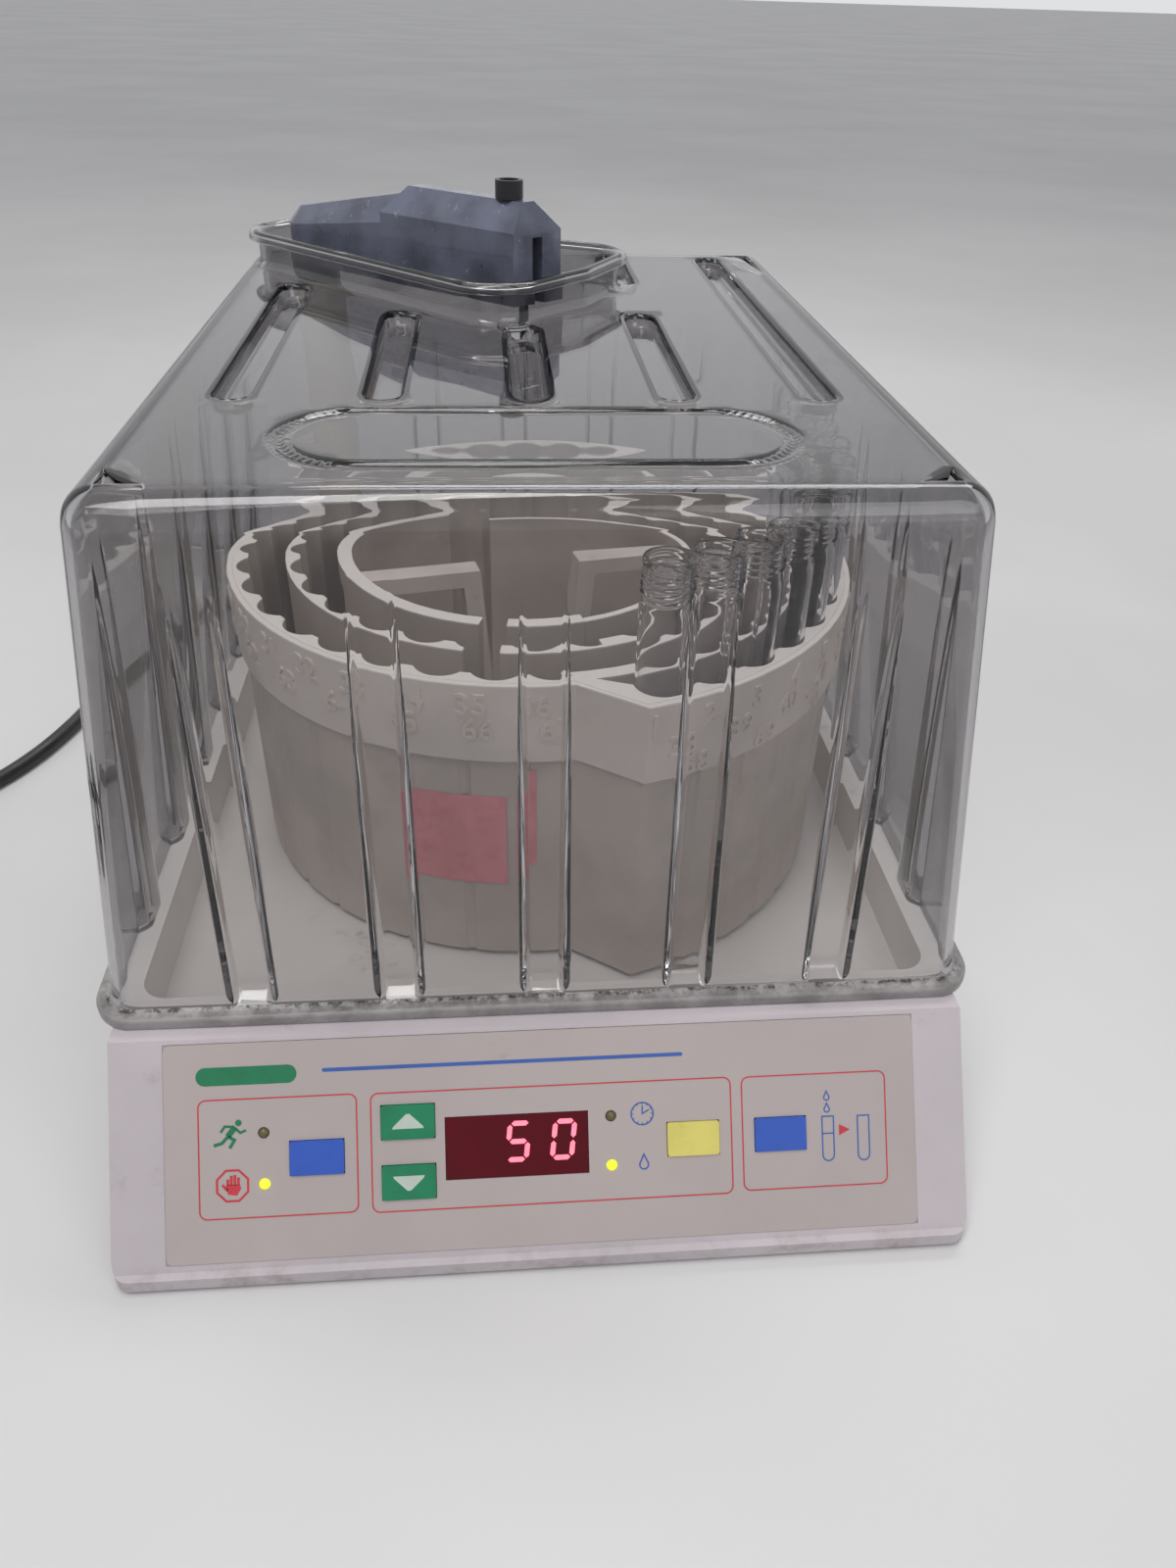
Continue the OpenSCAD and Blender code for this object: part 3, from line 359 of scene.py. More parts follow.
LIP = lip_haze()
COVER_MID_Y = 23
COVER_HALF = Vector((129, 165.5))
COVER_FOOT_Z, COVER_TOP_Z = 60, 214
COVER_R, COVER_T = 9, 2.2
EDGE_EXTRA, EDGE_REACH = 0.6, 9  # the sheet is this much thicker round its top edge
DRAFT = 15.6 / 154
BALL_Z = COVER_TOP_Z - COVER_R
BALL_IN = (BALL_Z - COVER_FOOT_Z) * DRAFT + COVER_R / math.cos(math.atan(DRAFT))
FLAT_X, FLAT_Y = COVER_HALF.x - BALL_IN, COVER_HALF.y - BALL_IN  # half sizes of the flat top
GROOVE_XS = (-86, -43, 0, 43, 86)
GROOVE_YS = (-102, -57.5, -13, 31.5, 76, 120.5)
GROOVE_Z0, GROOVE_Z1, GROOVE_DEEP, GROOVE_HALF = 66, 188, 4.5, 6
GROOVE_SIDE, GROOVE_FOOT = 1.8, 1.5  # width of its sloping side, and height of its foot below Z0
CHANNELS = [(-86, -46.5, 90.5), (-43, -46.5, 47.5), (0, -46.5, 29.5), (43, -46.5, 47.5),
            (86, -46.5, 153.5), (43, 108.5, 151.5)]
CHANNEL_CLEAR = 9
RING_A, RING_B, RING_R = Vector((-45.6, -83.8)), Vector((47.5, -83.8)), 21.9
RING_DEEP, RING_FLOOR, RING_SLOPE, RING_CLEAR = 1.0, 0.5, 1.5, 5.5
PIVOT, ARM_DIR, ARM_L = Vector((-82, 138)), math.radians(-41.4), 112
LOBES = [(0, 0, 21.0)] + [(ARM_L, a, 15.6) for a in (-8, 5.75, 19.5)]
COLLAR_FILLET = 3.2
COLLAR_FOOT = COVER_T + COLLAR_FILLET
BEAD_R, BEAD_Z = 0.65, 224.9  # the collar's rolled lip, on the under side of the sheet


def ease(x):
    x = min(max(x, 0.0), 1.0)
    return x * x * (3 - 2 * x)


def groove_profile(across):
    """1 in a groove's floor, 0 outside it, by the distance from its middle."""
    return 1 - ease((abs(across) - (GROOVE_HALF - GROOVE_SIDE)) / GROOVE_SIDE)


def groove_depth(along, z, places):
    """Depth of the upright grooves in a wall: deepest at the foot, fading to nothing."""
    if z < GROOVE_Z0 - GROOVE_FOOT or z > GROOVE_Z1:
        return 0.0
    left = min((GROOVE_Z1 - z) / (GROOVE_Z1 - GROOVE_Z0), 1.0)
    deep = GROOVE_DEEP * left ** 0.75 * ease((z - GROOVE_Z0 + GROOVE_FOOT) / (2 * GROOVE_FOOT))
    return deep * max(groove_profile(along - p) for p in places)


GROOVE_SAMPLES = (0, 2.4, 3.6, 4.1, 4.5, 4.9, 5.3, 5.7, 6.1, 6.6, 8)
CHANNEL_SAMPLES = (2.0, 3.7, 4.2, 4.6, 5.0, 5.4, 5.8, 6.3, 7.6)
RING_SAMPLES = (-3.6, -2.1, -1.6, -1.1, -0.5, 0.5, 1.1, 1.6, 2.1, 3.6)


def samples(low, high, places, coarse=6.0):
    """Sorted positions from low to high, close together at the sides of the groove in each place."""
    out = {round(low, 3), round(high, 3)}
    for p in places:
        out.update(round(p + side * d, 3) for d in GROOVE_SAMPLES for side in (-1, 1))
    out = sorted(v for v in out if low <= v <= high)
    filled = [out[0]]
    for v in out[1:]:
        last, gap = filled[-1], v - filled[-1]
        pieces = math.ceil(gap / coarse)
        filled += [last + gap * k / pieces for k in range(1, pieces)]
        filled.append(v)
    return filled


def collar_loop(grow, count=150):
    """Points round the opening that the arm swings in, at a distance outside its outline."""
    circles = []
    for d, a, r in LOBES:
        a = ARM_DIR + math.radians(a)
        circles.append((PIVOT + Vector((d * math.cos(a), d * math.sin(a))), r))
    loop = []
    for k in range(count):
        n = Vector((math.cos(2 * math.pi * k / count), math.sin(2 * math.pi * k / count)))
        c, r = max(circles, key=lambda q: q[0].dot(n) + q[1])
        loop.append((c + n * r, n))
    full = []
    for (p, n), (q, m) in zip(loop, loop[1:] + loop[:1]):
        pieces = max(1, round((q - p).length / 3))
        full += [(p.lerp(q, k / pieces), n.lerp(m, k / pieces).normalized()) for k in range(pieces)]
    return [p + n * grow for p, n in full]


def in_loop(p, loop):
    inside = False
    for a, b in zip(loop, loop[1:] + loop[:1]):
        if (a.y > p.y) != (b.y > p.y) and p.x < (b.x - a.x) * (p.y - a.y) / (b.y - a.y) + a.x:
            inside = not inside
    return inside


def to_axis(p, a, b):
    """Distance from p to the segment a-b."""
    d = b - a
    t = min(max((p - a).dot(d) / d.length_squared, 0), 1)
    return (p - a - d * t).length


def to_channels(p):
    return [to_axis(p, Vector((x, y0)), Vector((x, y1))) for x, y0, y1 in CHANNELS]


def to_ring(p):
    return abs(to_axis(p, RING_A, RING_B) - RING_R)


def top_height(p):
    """Height of the cover's top at a plan point, with the channels and the ring sunk in it."""
    z = COVER_TOP_Z
    for off in to_channels(p):
        z -= GROOVE_DEEP * groove_profile(off)
    return z - RING_DEEP * (1 - ease((to_ring(p) - RING_FLOOR) / RING_SLOPE))


def plain_top(p):
    """Whether a plan point of the top stands clear of every channel and of the ring."""
    return to_ring(p) >= RING_CLEAR and all(off > CHANNEL_CLEAR for off in to_channels(p))


def sheet_thickness(p):
    """The sheet's thickness at a point of its outside: it is drawn thicker round the top edge."""
    middle = COVER_R * math.pi / 4
    inward = min(FLAT_X - abs(p.x), FLAT_Y - abs(p.y - COVER_MID_Y))
    if p.z <= BALL_Z:
        along = middle + BALL_Z - p.z
    elif inward > 0:
        along = middle + inward
    else:
        along = abs(math.asin(min((p.z - BALL_Z) / COVER_R, 1)) * COVER_R - middle)
    return COVER_T + EDGE_EXTRA * ease(1 - along / EDGE_REACH)


def stadium(a, b, radius, spacing):
    """Points round the segment a-b at a distance."""
    d = (b - a).normalized()
    side = Vector((-d.y, d.x))
    length, arcs = (b - a).length, max(6, round(math.pi * radius / spacing))
    runs = max(1, round(length / spacing))
    turns = [(math.cos(math.pi * k / arcs), math.sin(math.pi * k / arcs)) for k in range(arcs)]
    out = [a + d * length * k / runs - side * radius for k in range(runs)]
    out += [b + radius * (-side * c + d * s) for c, s in turns]
    out += [b - d * length * k / runs + side * radius for k in range(runs)]
    out += [a + radius * (side * c - d * s) for c, s in turns]
    return out


LIP_PROFILE = [(60.0, 3.7), (60.3, 3.95), (60.8, 4.0), (63.0, 4.0), (63.6, 3.85), (63.9, 3.5),
               (64.0, 2.9), (64.05, 1.4), (64.3, 0.6), (64.8, 0.1)]  # z, reach beyond the wall
WALL_ZS = [65.2, 65.8, 66.4, 67, 67.7, 68.5, 70, 73]
ARC_STEPS = 8
KEEP_X, KEEP_Y = 96, 132  # half lengths in which no groove moves from ring to ring
CHANNEL_SPACING, RING_SPACING, GRID = 3.2, 2.6, 7.0  # of the points on the flat top


def cover_rings():
    """Rings from the lip up the wall and over the rounded edge: z, inset, corner radius."""
    rings = [(z, -out, COVER_R + out) for z, out in LIP_PROFILE]
    walls = WALL_ZS + [round(z, 2) for z in np.linspace(78, BALL_Z, 26)]
    rings += [(z, (z - COVER_FOOT_Z) * DRAFT, COVER_R) for z in walls]
    tilt = math.atan(DRAFT)
    for k in range(1, ARC_STEPS + 1):
        a = tilt + (math.pi / 2 - tilt) * k / ARC_STEPS
        rise = (math.sin(a) - math.sin(tilt)) / (1 - math.sin(tilt))
        rings.append((BALL_Z + COVER_R * rise, BALL_IN - COVER_R * math.cos(a), COVER_R * math.cos(a)))
    return rings


def stretched(values, half, centre, keep):
    """Positions widened to a ring's half length, with the grooved middle left in place."""
    top = max(abs(v - centre) for v in values)
    out = []
    for v in values:
        d = v - centre
        if abs(d) > keep:
            d = math.copysign(keep + (abs(d) - keep) * (half - keep) / (top - keep), d)
        out.append(centre + d)
    return out


def ring_points(xs, ys, z, inset, radius):
    """One ring of the cover's wall, anticlockwise from the left end of its front."""
    radius = max(radius, 0.02)
    sx, sy = COVER_HALF.x - inset - radius, COVER_HALF.y - inset - radius
    y0, y1 = COVER_MID_Y - sy, COVER_MID_Y + sy
    along_x, along_y = stretched(xs, sx, 0, KEEP_X), stretched(ys, sy, COVER_MID_Y, KEEP_Y)

    def corner(cx, cy, start):
        turns = [math.radians(start + 90 * k / ARC_STEPS) for k in range(1, ARC_STEPS)]
        return [(cx + radius * math.cos(a), cy + radius * math.sin(a), z) for a in turns]

    row = [(x, y0 - radius + groove_depth(x, z, GROOVE_XS), z) for x in along_x]
    row += corner(sx, y0, -90)
    row += [(sx + radius - groove_depth(y, z, GROOVE_YS), y, z) for y in along_y]
    row += corner(sx, y1, 0)
    row += [(x, y1 + radius - groove_depth(x, z, GROOVE_XS), z) for x in reversed(along_x)]
    row += corner(-sx, y1, 90)
    row += [(-sx - radius + groove_depth(y, z, GROOVE_YS), y, z) for y in reversed(along_y)]
    return row + corner(-sx, y0, 180)


def add_bands(bm, rows):
    """Closed bands of faces between rows with the same number of points, in mm."""
    rows = [[bm.verts.new(Vector(p) * MM) for p in row] for row in rows]
    for low, high in zip(rows, rows[1:]):
        n = len(low)
        for i in range(n):
            bm.faces.new((low[i], low[(i + 1) % n], high[(i + 1) % n], high[i]))


def add_top(bm, xs, ys):
    """The flat top, with points laid along the channels, the ring and the collar."""
    y0, y1 = COVER_MID_Y - FLAT_Y, COVER_MID_Y + FLAT_Y
    border = [Vector((x, y0)) for x in xs] + [Vector((FLAT_X, y)) for y in ys[1:]]
    border += [Vector((x, y1)) for x in reversed(xs[:-1])]
    border += [Vector((-FLAT_X, y)) for y in reversed(ys[1:-1])]
    collar_foot = collar_loop(COLLAR_FOOT)
    inner = []
    for x, low, high in CHANNELS:
        a, b = Vector((x, low)), Vector((x, high))
        inner += [a.lerp(b, k / 30) for k in range(31)]
        for r in CHANNEL_SAMPLES:
            inner += stadium(a, b, r, CHANNEL_SPACING)
    for off in RING_SAMPLES:
        inner += stadium(RING_A, RING_B, RING_R + off, RING_SPACING)
    fill = [p for grow in (3, 7, 12) for p in collar_loop(COLLAR_FOOT + grow)[::2]]
    fill += [Vector((x, y)) for x in np.arange(-108, 109, GRID) for y in np.arange(-115, 166, GRID)]
    inner += [p for p in fill if plain_top(p)]
    guard = collar_loop(COLLAR_FOOT + 1.5)
    inside_x, inside_y = FLAT_X - 1.2, FLAT_Y - 1.2
    kept = [
        p for p in inner
        if abs(p.x) < inside_x and abs(p.y - COVER_MID_Y) < inside_y and not in_loop(p, guard)
    ]
    n, m = len(border), len(collar_foot)
    edges = [(i, (i + 1) % n) for i in range(n)] + [(n + i, n + (i + 1) % m) for i in range(m)]
    points, _, faces, *_ = delaunay_2d_cdt(border + collar_foot + kept, edges, [], 0, 1e-4)
    tops = [bm.verts.new(Vector((p.x, p.y, top_height(p))) * MM) for p in points]
    for f in faces:
        middle = sum((points[i] for i in f), Vector((0, 0))) / len(f)
        if not in_loop(middle, collar_foot):
            bm.faces.new([tops[i] for i in f])


def collar_rows():
    """The collar: out of the top by a fillet, upright, then rolled outwards into a bead."""
    walls = [(COLLAR_FILLET, COVER_TOP_Z), (1.9, 214.25), (0.9, 214.95), (0.25, 216.2), (0, 218), (0, 222)]
    for a in np.radians(range(0, 181, 20)):
        walls.append((BEAD_R * (1 - math.cos(a)), BEAD_Z + BEAD_R * math.sin(a)))
    walls.append((2 * BEAD_R, BEAD_Z - 0.7))
    return [[(p.x, p.y, z) for p in collar_loop(COVER_T + out)] for out, z in walls]


def make_cover():
    """A thin sheet with grooves, channels and a ring in it, a rolled lip and a beaded collar."""
    xs = samples(-FLAT_X, FLAT_X, GROOVE_XS)
    groove_ys = [y - COVER_MID_Y for y in GROOVE_YS]
    ys = [COVER_MID_Y + v for v in samples(-FLAT_Y, FLAT_Y, groove_ys)]
    bm = bmesh.new()
    add_bands(bm, [ring_points(xs, ys, *ring) for ring in cover_rings()])
    add_top(bm, xs, ys)
    add_bands(bm, collar_rows())
    bmesh.ops.remove_doubles(bm, verts=bm.verts, dist=4e-5)
    bmesh.ops.recalc_face_normals(bm, faces=bm.faces)
    mesh = bpy.data.meshes.new("clear_cover")
    bm.to_mesh(mesh)
    bm.free()
    plain = [f for f in mesh.polygons if abs(f.center.x) < 0.02 and f.center.y < -0.05]
    if max(plain, key=lambda f: f.center.z).normal.z < 0:
        mesh.flip_normals()
    cover = new_piece("clear_cover", mesh, "cover", SMOKE)
    mesh.materials.append(LIP.material)
    for face in mesh.polygons:
        if face.center.z < LIP_Z * MM:
            face.material_index = 1
    group = cover.vertex_groups.new(name="sheet_thickness")
    thickest = COVER_T + EDGE_EXTRA
    for v in mesh.vertices:
        group.add([v.index], sheet_thickness(v.co / MM) / thickest, "REPLACE")
    sheet = cover.modifiers.new("sheet", "SOLIDIFY")
    sheet.thickness, sheet.offset, sheet.vertex_group = thickest * MM, -1, group.name
    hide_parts("dust_cover")


make_cover()


# ----------------------------------------------------------------- tubes
RACK_C = Vector((0, -7))
RACK_R, SPIRAL_STEP, TRACK_IN, START_A = 113.4, 17.4, 9.3, -75
TUBE_PITCH, FIRST_TUBE_A, TUBE_PLACES, TUBES = 16.4, 4.5, 80, 10
FLOOR_Z, RACK_TOP_Z, BAND_T = 64, 150, 2
TUBE_R, TUBE_L, TUBE_T, NECK_R = 7.8, 125, 1.2, 7.1


def wall_radius(turns):
    return RACK_R - SPIRAL_STEP * turns


def tube_turns():
    """Turns of the spiral at which each tube stands."""
    turns = [FIRST_TUBE_A / 360]
    while len(turns) < TUBE_PLACES:
        turns.append(turns[-1] + TUBE_PITCH / (2 * math.pi * (wall_radius(turns[-1]) - TRACK_IN)))
    return turns


PLACES = tube_turns()


def tube_mesh():
    """A culture tube: round foot, thin wall, screw thread under a beaded mouth."""
    outside = [(0.02, 0.0), (2.2, 0.12)]
    outside += [(TUBE_R * math.sin(a), TUBE_R * (1 - math.cos(a))) for a in np.radians(range(24, 91, 11))]
    outside += [(TUBE_R, z) for z in (20, 50, 80, 100, 108)] + [(TUBE_R, 110), (7.6, 111), (NECK_R, 112.2)]
    thread_foot, thread_top = 112.8, 121.6
    outside += [(NECK_R, z) for z in np.arange(thread_foot, thread_top, 0.32)]
    outside += [(NECK_R, 122.2), (7.4, 122.8), (7.6, 123.6), (7.4, 124.5), (6.8, TUBE_L)]
    bore = TUBE_R - TUBE_T
    inside = [(6.1, 124.6), (NECK_R - 1.4, 123.6), (NECK_R - 1.4, 113), (bore, 110), (bore, 60), (bore, 12)]
    for a in np.radians(range(90, 9, -16)):
        inside.append((bore * math.sin(a), TUBE_T + bore * (1 - math.cos(a))))
    inside += [(0.02, TUBE_T)]
    pitch = 2.1

    def thread(i, r, z, a):
        if i >= len(outside) or not thread_foot <= z <= thread_top:
            return r
        turn = ((z - thread_foot) / pitch - a / (2 * math.pi)) % 1.0
        fade = ease((z - thread_foot) / 1.2) * ease((thread_top - z) / 1.2)
        return r + 0.68 * fade * max(0.0, math.cos(2 * math.pi * (turn - 0.5))) ** 0.8

    mesh = lathe("culture_tube", outside + inside, 56, thread)
    mesh.transform(Matrix.Scale(MM, 4))
    return mesh


def make_tubes():
    """Glass tubes in the first places of the rack."""
    glass = clear("tube_glass", srgb(253, 253, 254), 1.32, 40, wavy=0.008)
    shape = tube_mesh()
    for k in range(TUBES):
        turns = PLACES[k]
        r, a = wall_radius(turns) - TRACK_IN, math.radians(START_A + 360 * turns)
        tube = bpy.data.objects.new(f"glass_tube_{k + 1:02d}", shape)
        bpy.context.scene.collection.objects.link(tube)
        at = RACK_C + Vector((r * math.cos(a), r * math.sin(a)))
        tube.location = Vector((at.x, at.y, FLOOR_Z)) * MM
        tube.rotation_euler = (0, 0, 1.3 * k)
        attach(tube, "turntable")
        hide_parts(f"tube_{k + 1:02d}")
    shape.materials.append(glass.material)
    shape.polygons.foreach_set("use_smooth", [True] * len(shape.polygons))


make_tubes()


# ------------------------------------------------------------------ rack
def rack_plastic(name, colour):
    """Moulded plastic, stained, with rough flash and a painted highlight along the top edges."""
    look = Look(name)
    tone = look.mix(look.band(look.noise(26, 4), 0.35, 0.65), shade(colour, 0.88), shade(colour, 1.05))
    stains = look.band(look.noise(70, 6, 0.7), 0.58, 0.74)
    tone = look.mix(look.times(stains, 0.3), tone, srgb(150, 128, 112))
    # Painted highlight: near-white along the top edges, where the bump also gives rough flash.
    flash_and_highlight = look.band(look.height(), (RACK_TOP_Z - 0.8) * MM, (RACK_TOP_Z - 0.1) * MM)
    look.set(Base_Color=look.mix(flash_and_highlight, tone, srgb(252, 246, 240)),
             Roughness=look.band(look.noise(300), 0.3, 0.7, 0.5, 0.68))
    look.bump(look.noise(900, 5, 0.7), look.band(flash_and_highlight, 0, 1, 0.12, 0.7), 0.0004)
    return look


RACK = rack_plastic("rack_plastic", srgb(198, 187, 180))
# A paler copy of the rack plastic for the rim, handles and numbers: painted light, as the band catches more
# light than the wall in shade below it.
RACK_PAINTED_LIT = rack_plastic("rack_plastic_painted_lit", srgb(222, 212, 206))
dress("rack_wall_outer rack_wall_middle rack_wall_inner rack_wall_core rack_floor", RACK, 0.35)
dress("rack_rim rack_handles", RACK_PAINTED_LIT, 0.35)


def spiral_point(turns, out, z):
    """A point bent round the spiral, at a distance outside the wall."""
    a = math.radians(START_A + 360 * turns)
    r = wall_radius(turns) + out
    return Vector((RACK_C.x + r * math.cos(a), RACK_C.y + r * math.sin(a), z)) * MM


NUMERAL_SIZE, NUMERAL_BOLD, NUMERAL_PROUD = 10.0, 0.07, 0.6
NUMERAL_ROWS = (143.2, 135.0, 127.6)
NUMERAL_TURN, ROW_TWO_TURN = 3.6, 6.9  # degrees by which the numbers stand behind their tubes


def flat_text(body):
    """A mesh of a number in raised type, in mm."""
    curve = bpy.data.curves.new("numeral", "FONT")
    curve.body, curve.size, curve.extrude, curve.offset = body, NUMERAL_SIZE, NUMERAL_PROUD, NUMERAL_BOLD
    curve.align_x, curve.align_y, curve.space_character = "CENTER", "CENTER", 1.0
    curve.resolution_u = 3
    text = bpy.data.objects.new("numeral", curve)
    bpy.context.scene.collection.objects.link(text)
    bpy.context.view_layer.update()
    shape = bpy.data.meshes.new_from_object(text.evaluated_get(bpy.context.evaluated_depsgraph_get()))
    bpy.data.objects.remove(text)
    bpy.data.curves.remove(curve)
    return shape


def make_numerals():
    """Raised place numbers round the band, one row for each turn of the spiral."""
    points, faces = [], []
    for number, turns in enumerate(PLACES, 1):
        row = min(int(turns), 2)
        shape = flat_text(str(number))
        on_outside = turns % 1.0
        on_outside -= (NUMERAL_TURN + (ROW_TWO_TURN * on_outside if row == 1 else 0)) / 360
        base = len(points)
        for v in shape.vertices:
            along = v.co.x / (2 * math.pi * (wall_radius(on_outside) + BAND_T))
            points.append(spiral_point(on_outside + along, BAND_T + v.co.z, NUMERAL_ROWS[row] + v.co.y))
        faces += [[base + i for i in f.vertices] for f in shape.polygons]
        bpy.data.meshes.remove(shape)
    mesh = mesh_from("place_numbers", points, faces)
    # The numbers take the paler copy of the plastic, painted light.
    piece = new_piece("place_numbers", mesh, "turntable", RACK_PAINTED_LIT, smooth=False)


make_numerals()
LABEL = solid("label_paper", srgb(222, 140, 148), 0.7, tone=0.12, patch=60, grain=2600, bump=0.2,
              dirt=srgb(206, 118, 128), dirt_from=0.5)
dress("rack_label", LABEL)


def make_label_strip():
    """A second, narrow strip of the same paper beside the label."""
    from_a, to_a, low, high, steps, paper = -94.2, -90.6, 84, 120, 4, 0.25
    points = []
    for k in range(steps + 1):
        turns = (from_a + (to_a - from_a) * k / steps + 360 - START_A) / 360
        points += [spiral_point(turns, paper, z) for z in (low, high)]
    faces = [(2 * k, 2 * k + 2, 2 * k + 3, 2 * k + 1) for k in range(steps)]
    piece = new_piece("label_strip", mesh_from("label_strip", points, faces), "turntable", LABEL)


make_label_strip()


# ------------------------------------------------------------------- arm
def arm_paint():
    """Glossy lacquer over metal, darker in patches and rubbed through in specks."""
    look = Look("arm_paint")
    colour = srgb(89, 93, 111)
    tone = look.mix(look.band(look.noise(45, 5), 0.35, 0.65), shade(colour, 0.68), shade(colour, 1.3))
    rubbed = look.band(look.noise(230, 8, 0.72, stretch=(1.0, 0.35, 1.0)), 0.60, 0.70)
    look.set(Base_Color=look.mix(look.times(rubbed, 0.7), tone, srgb(176, 180, 186)),
             Roughness=look.band(look.noise(120, 5), 0.3, 0.7, 0.26, 0.5), Metallic=0.25, Coat_Weight=0.5)
    return look.bump(look.noise(700, 3), 0.2)


dress("arm_beam arm_hub", arm_paint(), 0.7, 3)
BLACK = solid("black_plastic", srgb(28, 28, 31), 0.36, tone=0.2, patch=80, grain=900, bump=0.2,
              dirt=srgb(90, 88, 86), dirt_from=0.66)
dress("thumb_screw drip_nozzle power_inlet switch_frame switch_rocker", BLACK, 0.35)
dress("cord_connector mains_plug", BLACK, 0.8, 3)


# ------------------------------------------------------------------ base
SOIL_FULL_Z, SOIL_TOP_Z = 2, 10


def base_paint():
    """Textured paint, rubbed in patches and soiled along its foot."""
    look = Look("base_paint")
    colour = srgb(200, 191, 196)
    tone = look.mix(look.band(look.noise(14, 4), 0.35, 0.65), shade(colour, 0.92), shade(colour, 1.04))
    rubbed = look.times(look.band(look.noise(60, 8, 0.7), 0.58, 0.74), 0.35)
    low = look.band(look.height(), SOIL_TOP_Z * MM, SOIL_FULL_Z * MM)
    soiled = look.times(low, look.band(look.noise(90, 8, 0.7), 0.45, 0.8))
    dirt = look.add("Math", {0: rubbed, 1: soiled}, operation="MAXIMUM")
    look.set(Base_Color=look.mix(dirt, tone, srgb(146, 130, 126)),
             Roughness=look.band(look.noise(80, 4), 0.3, 0.7, 0.42, 0.6))
    return look.bump(look.noise(1800, 2), 0.25)


TRAY = solid("tray_plastic", srgb(226, 222, 219), 0.5, tone=0.06, patch=18,
             dirt=srgb(140, 122, 106), dirt_from=0.62)
FILM = solid("overlay_film", srgb(186, 175, 173), 0.42, tone=0.035, patch=22, grain=2600, bump=0.12,
             dirt=srgb(150, 138, 124), dirt_from=0.66)
dress("base_shell", base_paint(), 0.8, 3)
dress("deck_tray", TRAY, 0.7)
dress("front_overlay", FILM)
dress("bottom_plate transformer rack_motor arm_motor base_screws",
      solid("grey_steel", srgb(160, 162, 165), 0.38, metallic=0.8, patch=50), 0.3)
dress("rubber_feet", solid("foot_rubber", srgb(38, 38, 38), 0.8), 0.2)
dress("control_board", solid("circuit_board", srgb(38, 102, 58), 0.4, patch=200))
dress("rack_pinion arm_pinion", solid("brass", srgb(206, 178, 108), 0.3, metallic=1.0))
dress("drive_gear arm_sector", solid("gear_plastic", srgb(226, 223, 210), 0.45))
dress("spindle arm_shaft", solid("shaft_steel", srgb(190, 192, 196), 0.22, metallic=1.0))
dress("spindle_bushes arm_bushes", solid("bronze", srgb(178, 134, 84), 0.35, metallic=1.0))
dress("turntable_hub", solid("hub_plastic", srgb(60, 61, 64), 0.5))
dress("arm_post", solid("post_plastic", srgb(190, 182, 172), 0.5), 0.5)

KEY_BLUE = solid("key_blue", srgb(52, 92, 190), 0.38, tone=0.06, patch=90, bump=0.25)
KEY_GREEN = solid("key_green", srgb(22, 128, 88), 0.38, tone=0.08, patch=90, bump=0.25)
KEY_YELLOW = solid("key_yellow", srgb(228, 216, 116), 0.4, tone=0.05, patch=90, bump=0.25,
                   dirt=srgb(190, 176, 90))
dress("key_start key_step", KEY_BLUE, 0.3)
dress("key_up key_down", KEY_GREEN, 0.3)
dress("key_mode", KEY_YELLOW, 0.3)


LAMPS_LIT_BELOW_Z, LAMPS_DULL_FROM_Z = 30, 34


def lamp_look():
    """Two lamps in the lower row are lit; the same lenses are dull in the upper row."""
    look = Look("lamp")
    lit = look.band(look.height(), LAMPS_DULL_FROM_Z * MM, LAMPS_LIT_BELOW_Z * MM)
    look.set(Base_Color=look.mix(lit, srgb(104, 92, 58), srgb(226, 236, 60)), Roughness=0.2,
             Emission_Color=srgb(224, 240, 30), Emission_Strength=look.times(lit, 1.1))
    return look.bump(look.noise(600), 0.1)


dress("status_lamps", lamp_look())
dress("digit_display", solid("display_body", srgb(30, 8, 12), 0.4))
WINDOW = solid("display_window", srgb(92, 4, 22), 0.2, tone=0.1, patch=60, grain=700, bump=0.05)
WINDOW.set(Specular_IOR_Level=0.2)
dress("display_window", WINDOW, 0.1)


# ----------------------------------------------------------------- panel
PANEL_FOOT = Vector((0, -190, 7))
PANEL_LEAN = math.radians(36.6)
PANEL_UP = Vector((0, math.sin(PANEL_LEAN), math.cos(PANEL_LEAN)))
PANEL_OUT = Vector((0, -math.cos(PANEL_LEAN), math.sin(PANEL_LEAN)))
PANEL_V0 = 1.5  # foot of the front overlay above the panel's foot
FILM_W, KEY_W, WINDOW_W, INK_W = 0.3, 0.9, 0.1, 0.06  # faces above the panel, and ink above a face


def on_panel(u, v, w):
    """A point of the panel in the model's frame: u to the right, v up the slope, w out of it, in mm."""
    return (PANEL_FOOT + Vector((u, 0, 0)) + PANEL_UP * (v + PANEL_V0) + PANEL_OUT * w) * MM


SHARPEST_MITRE = 0.4


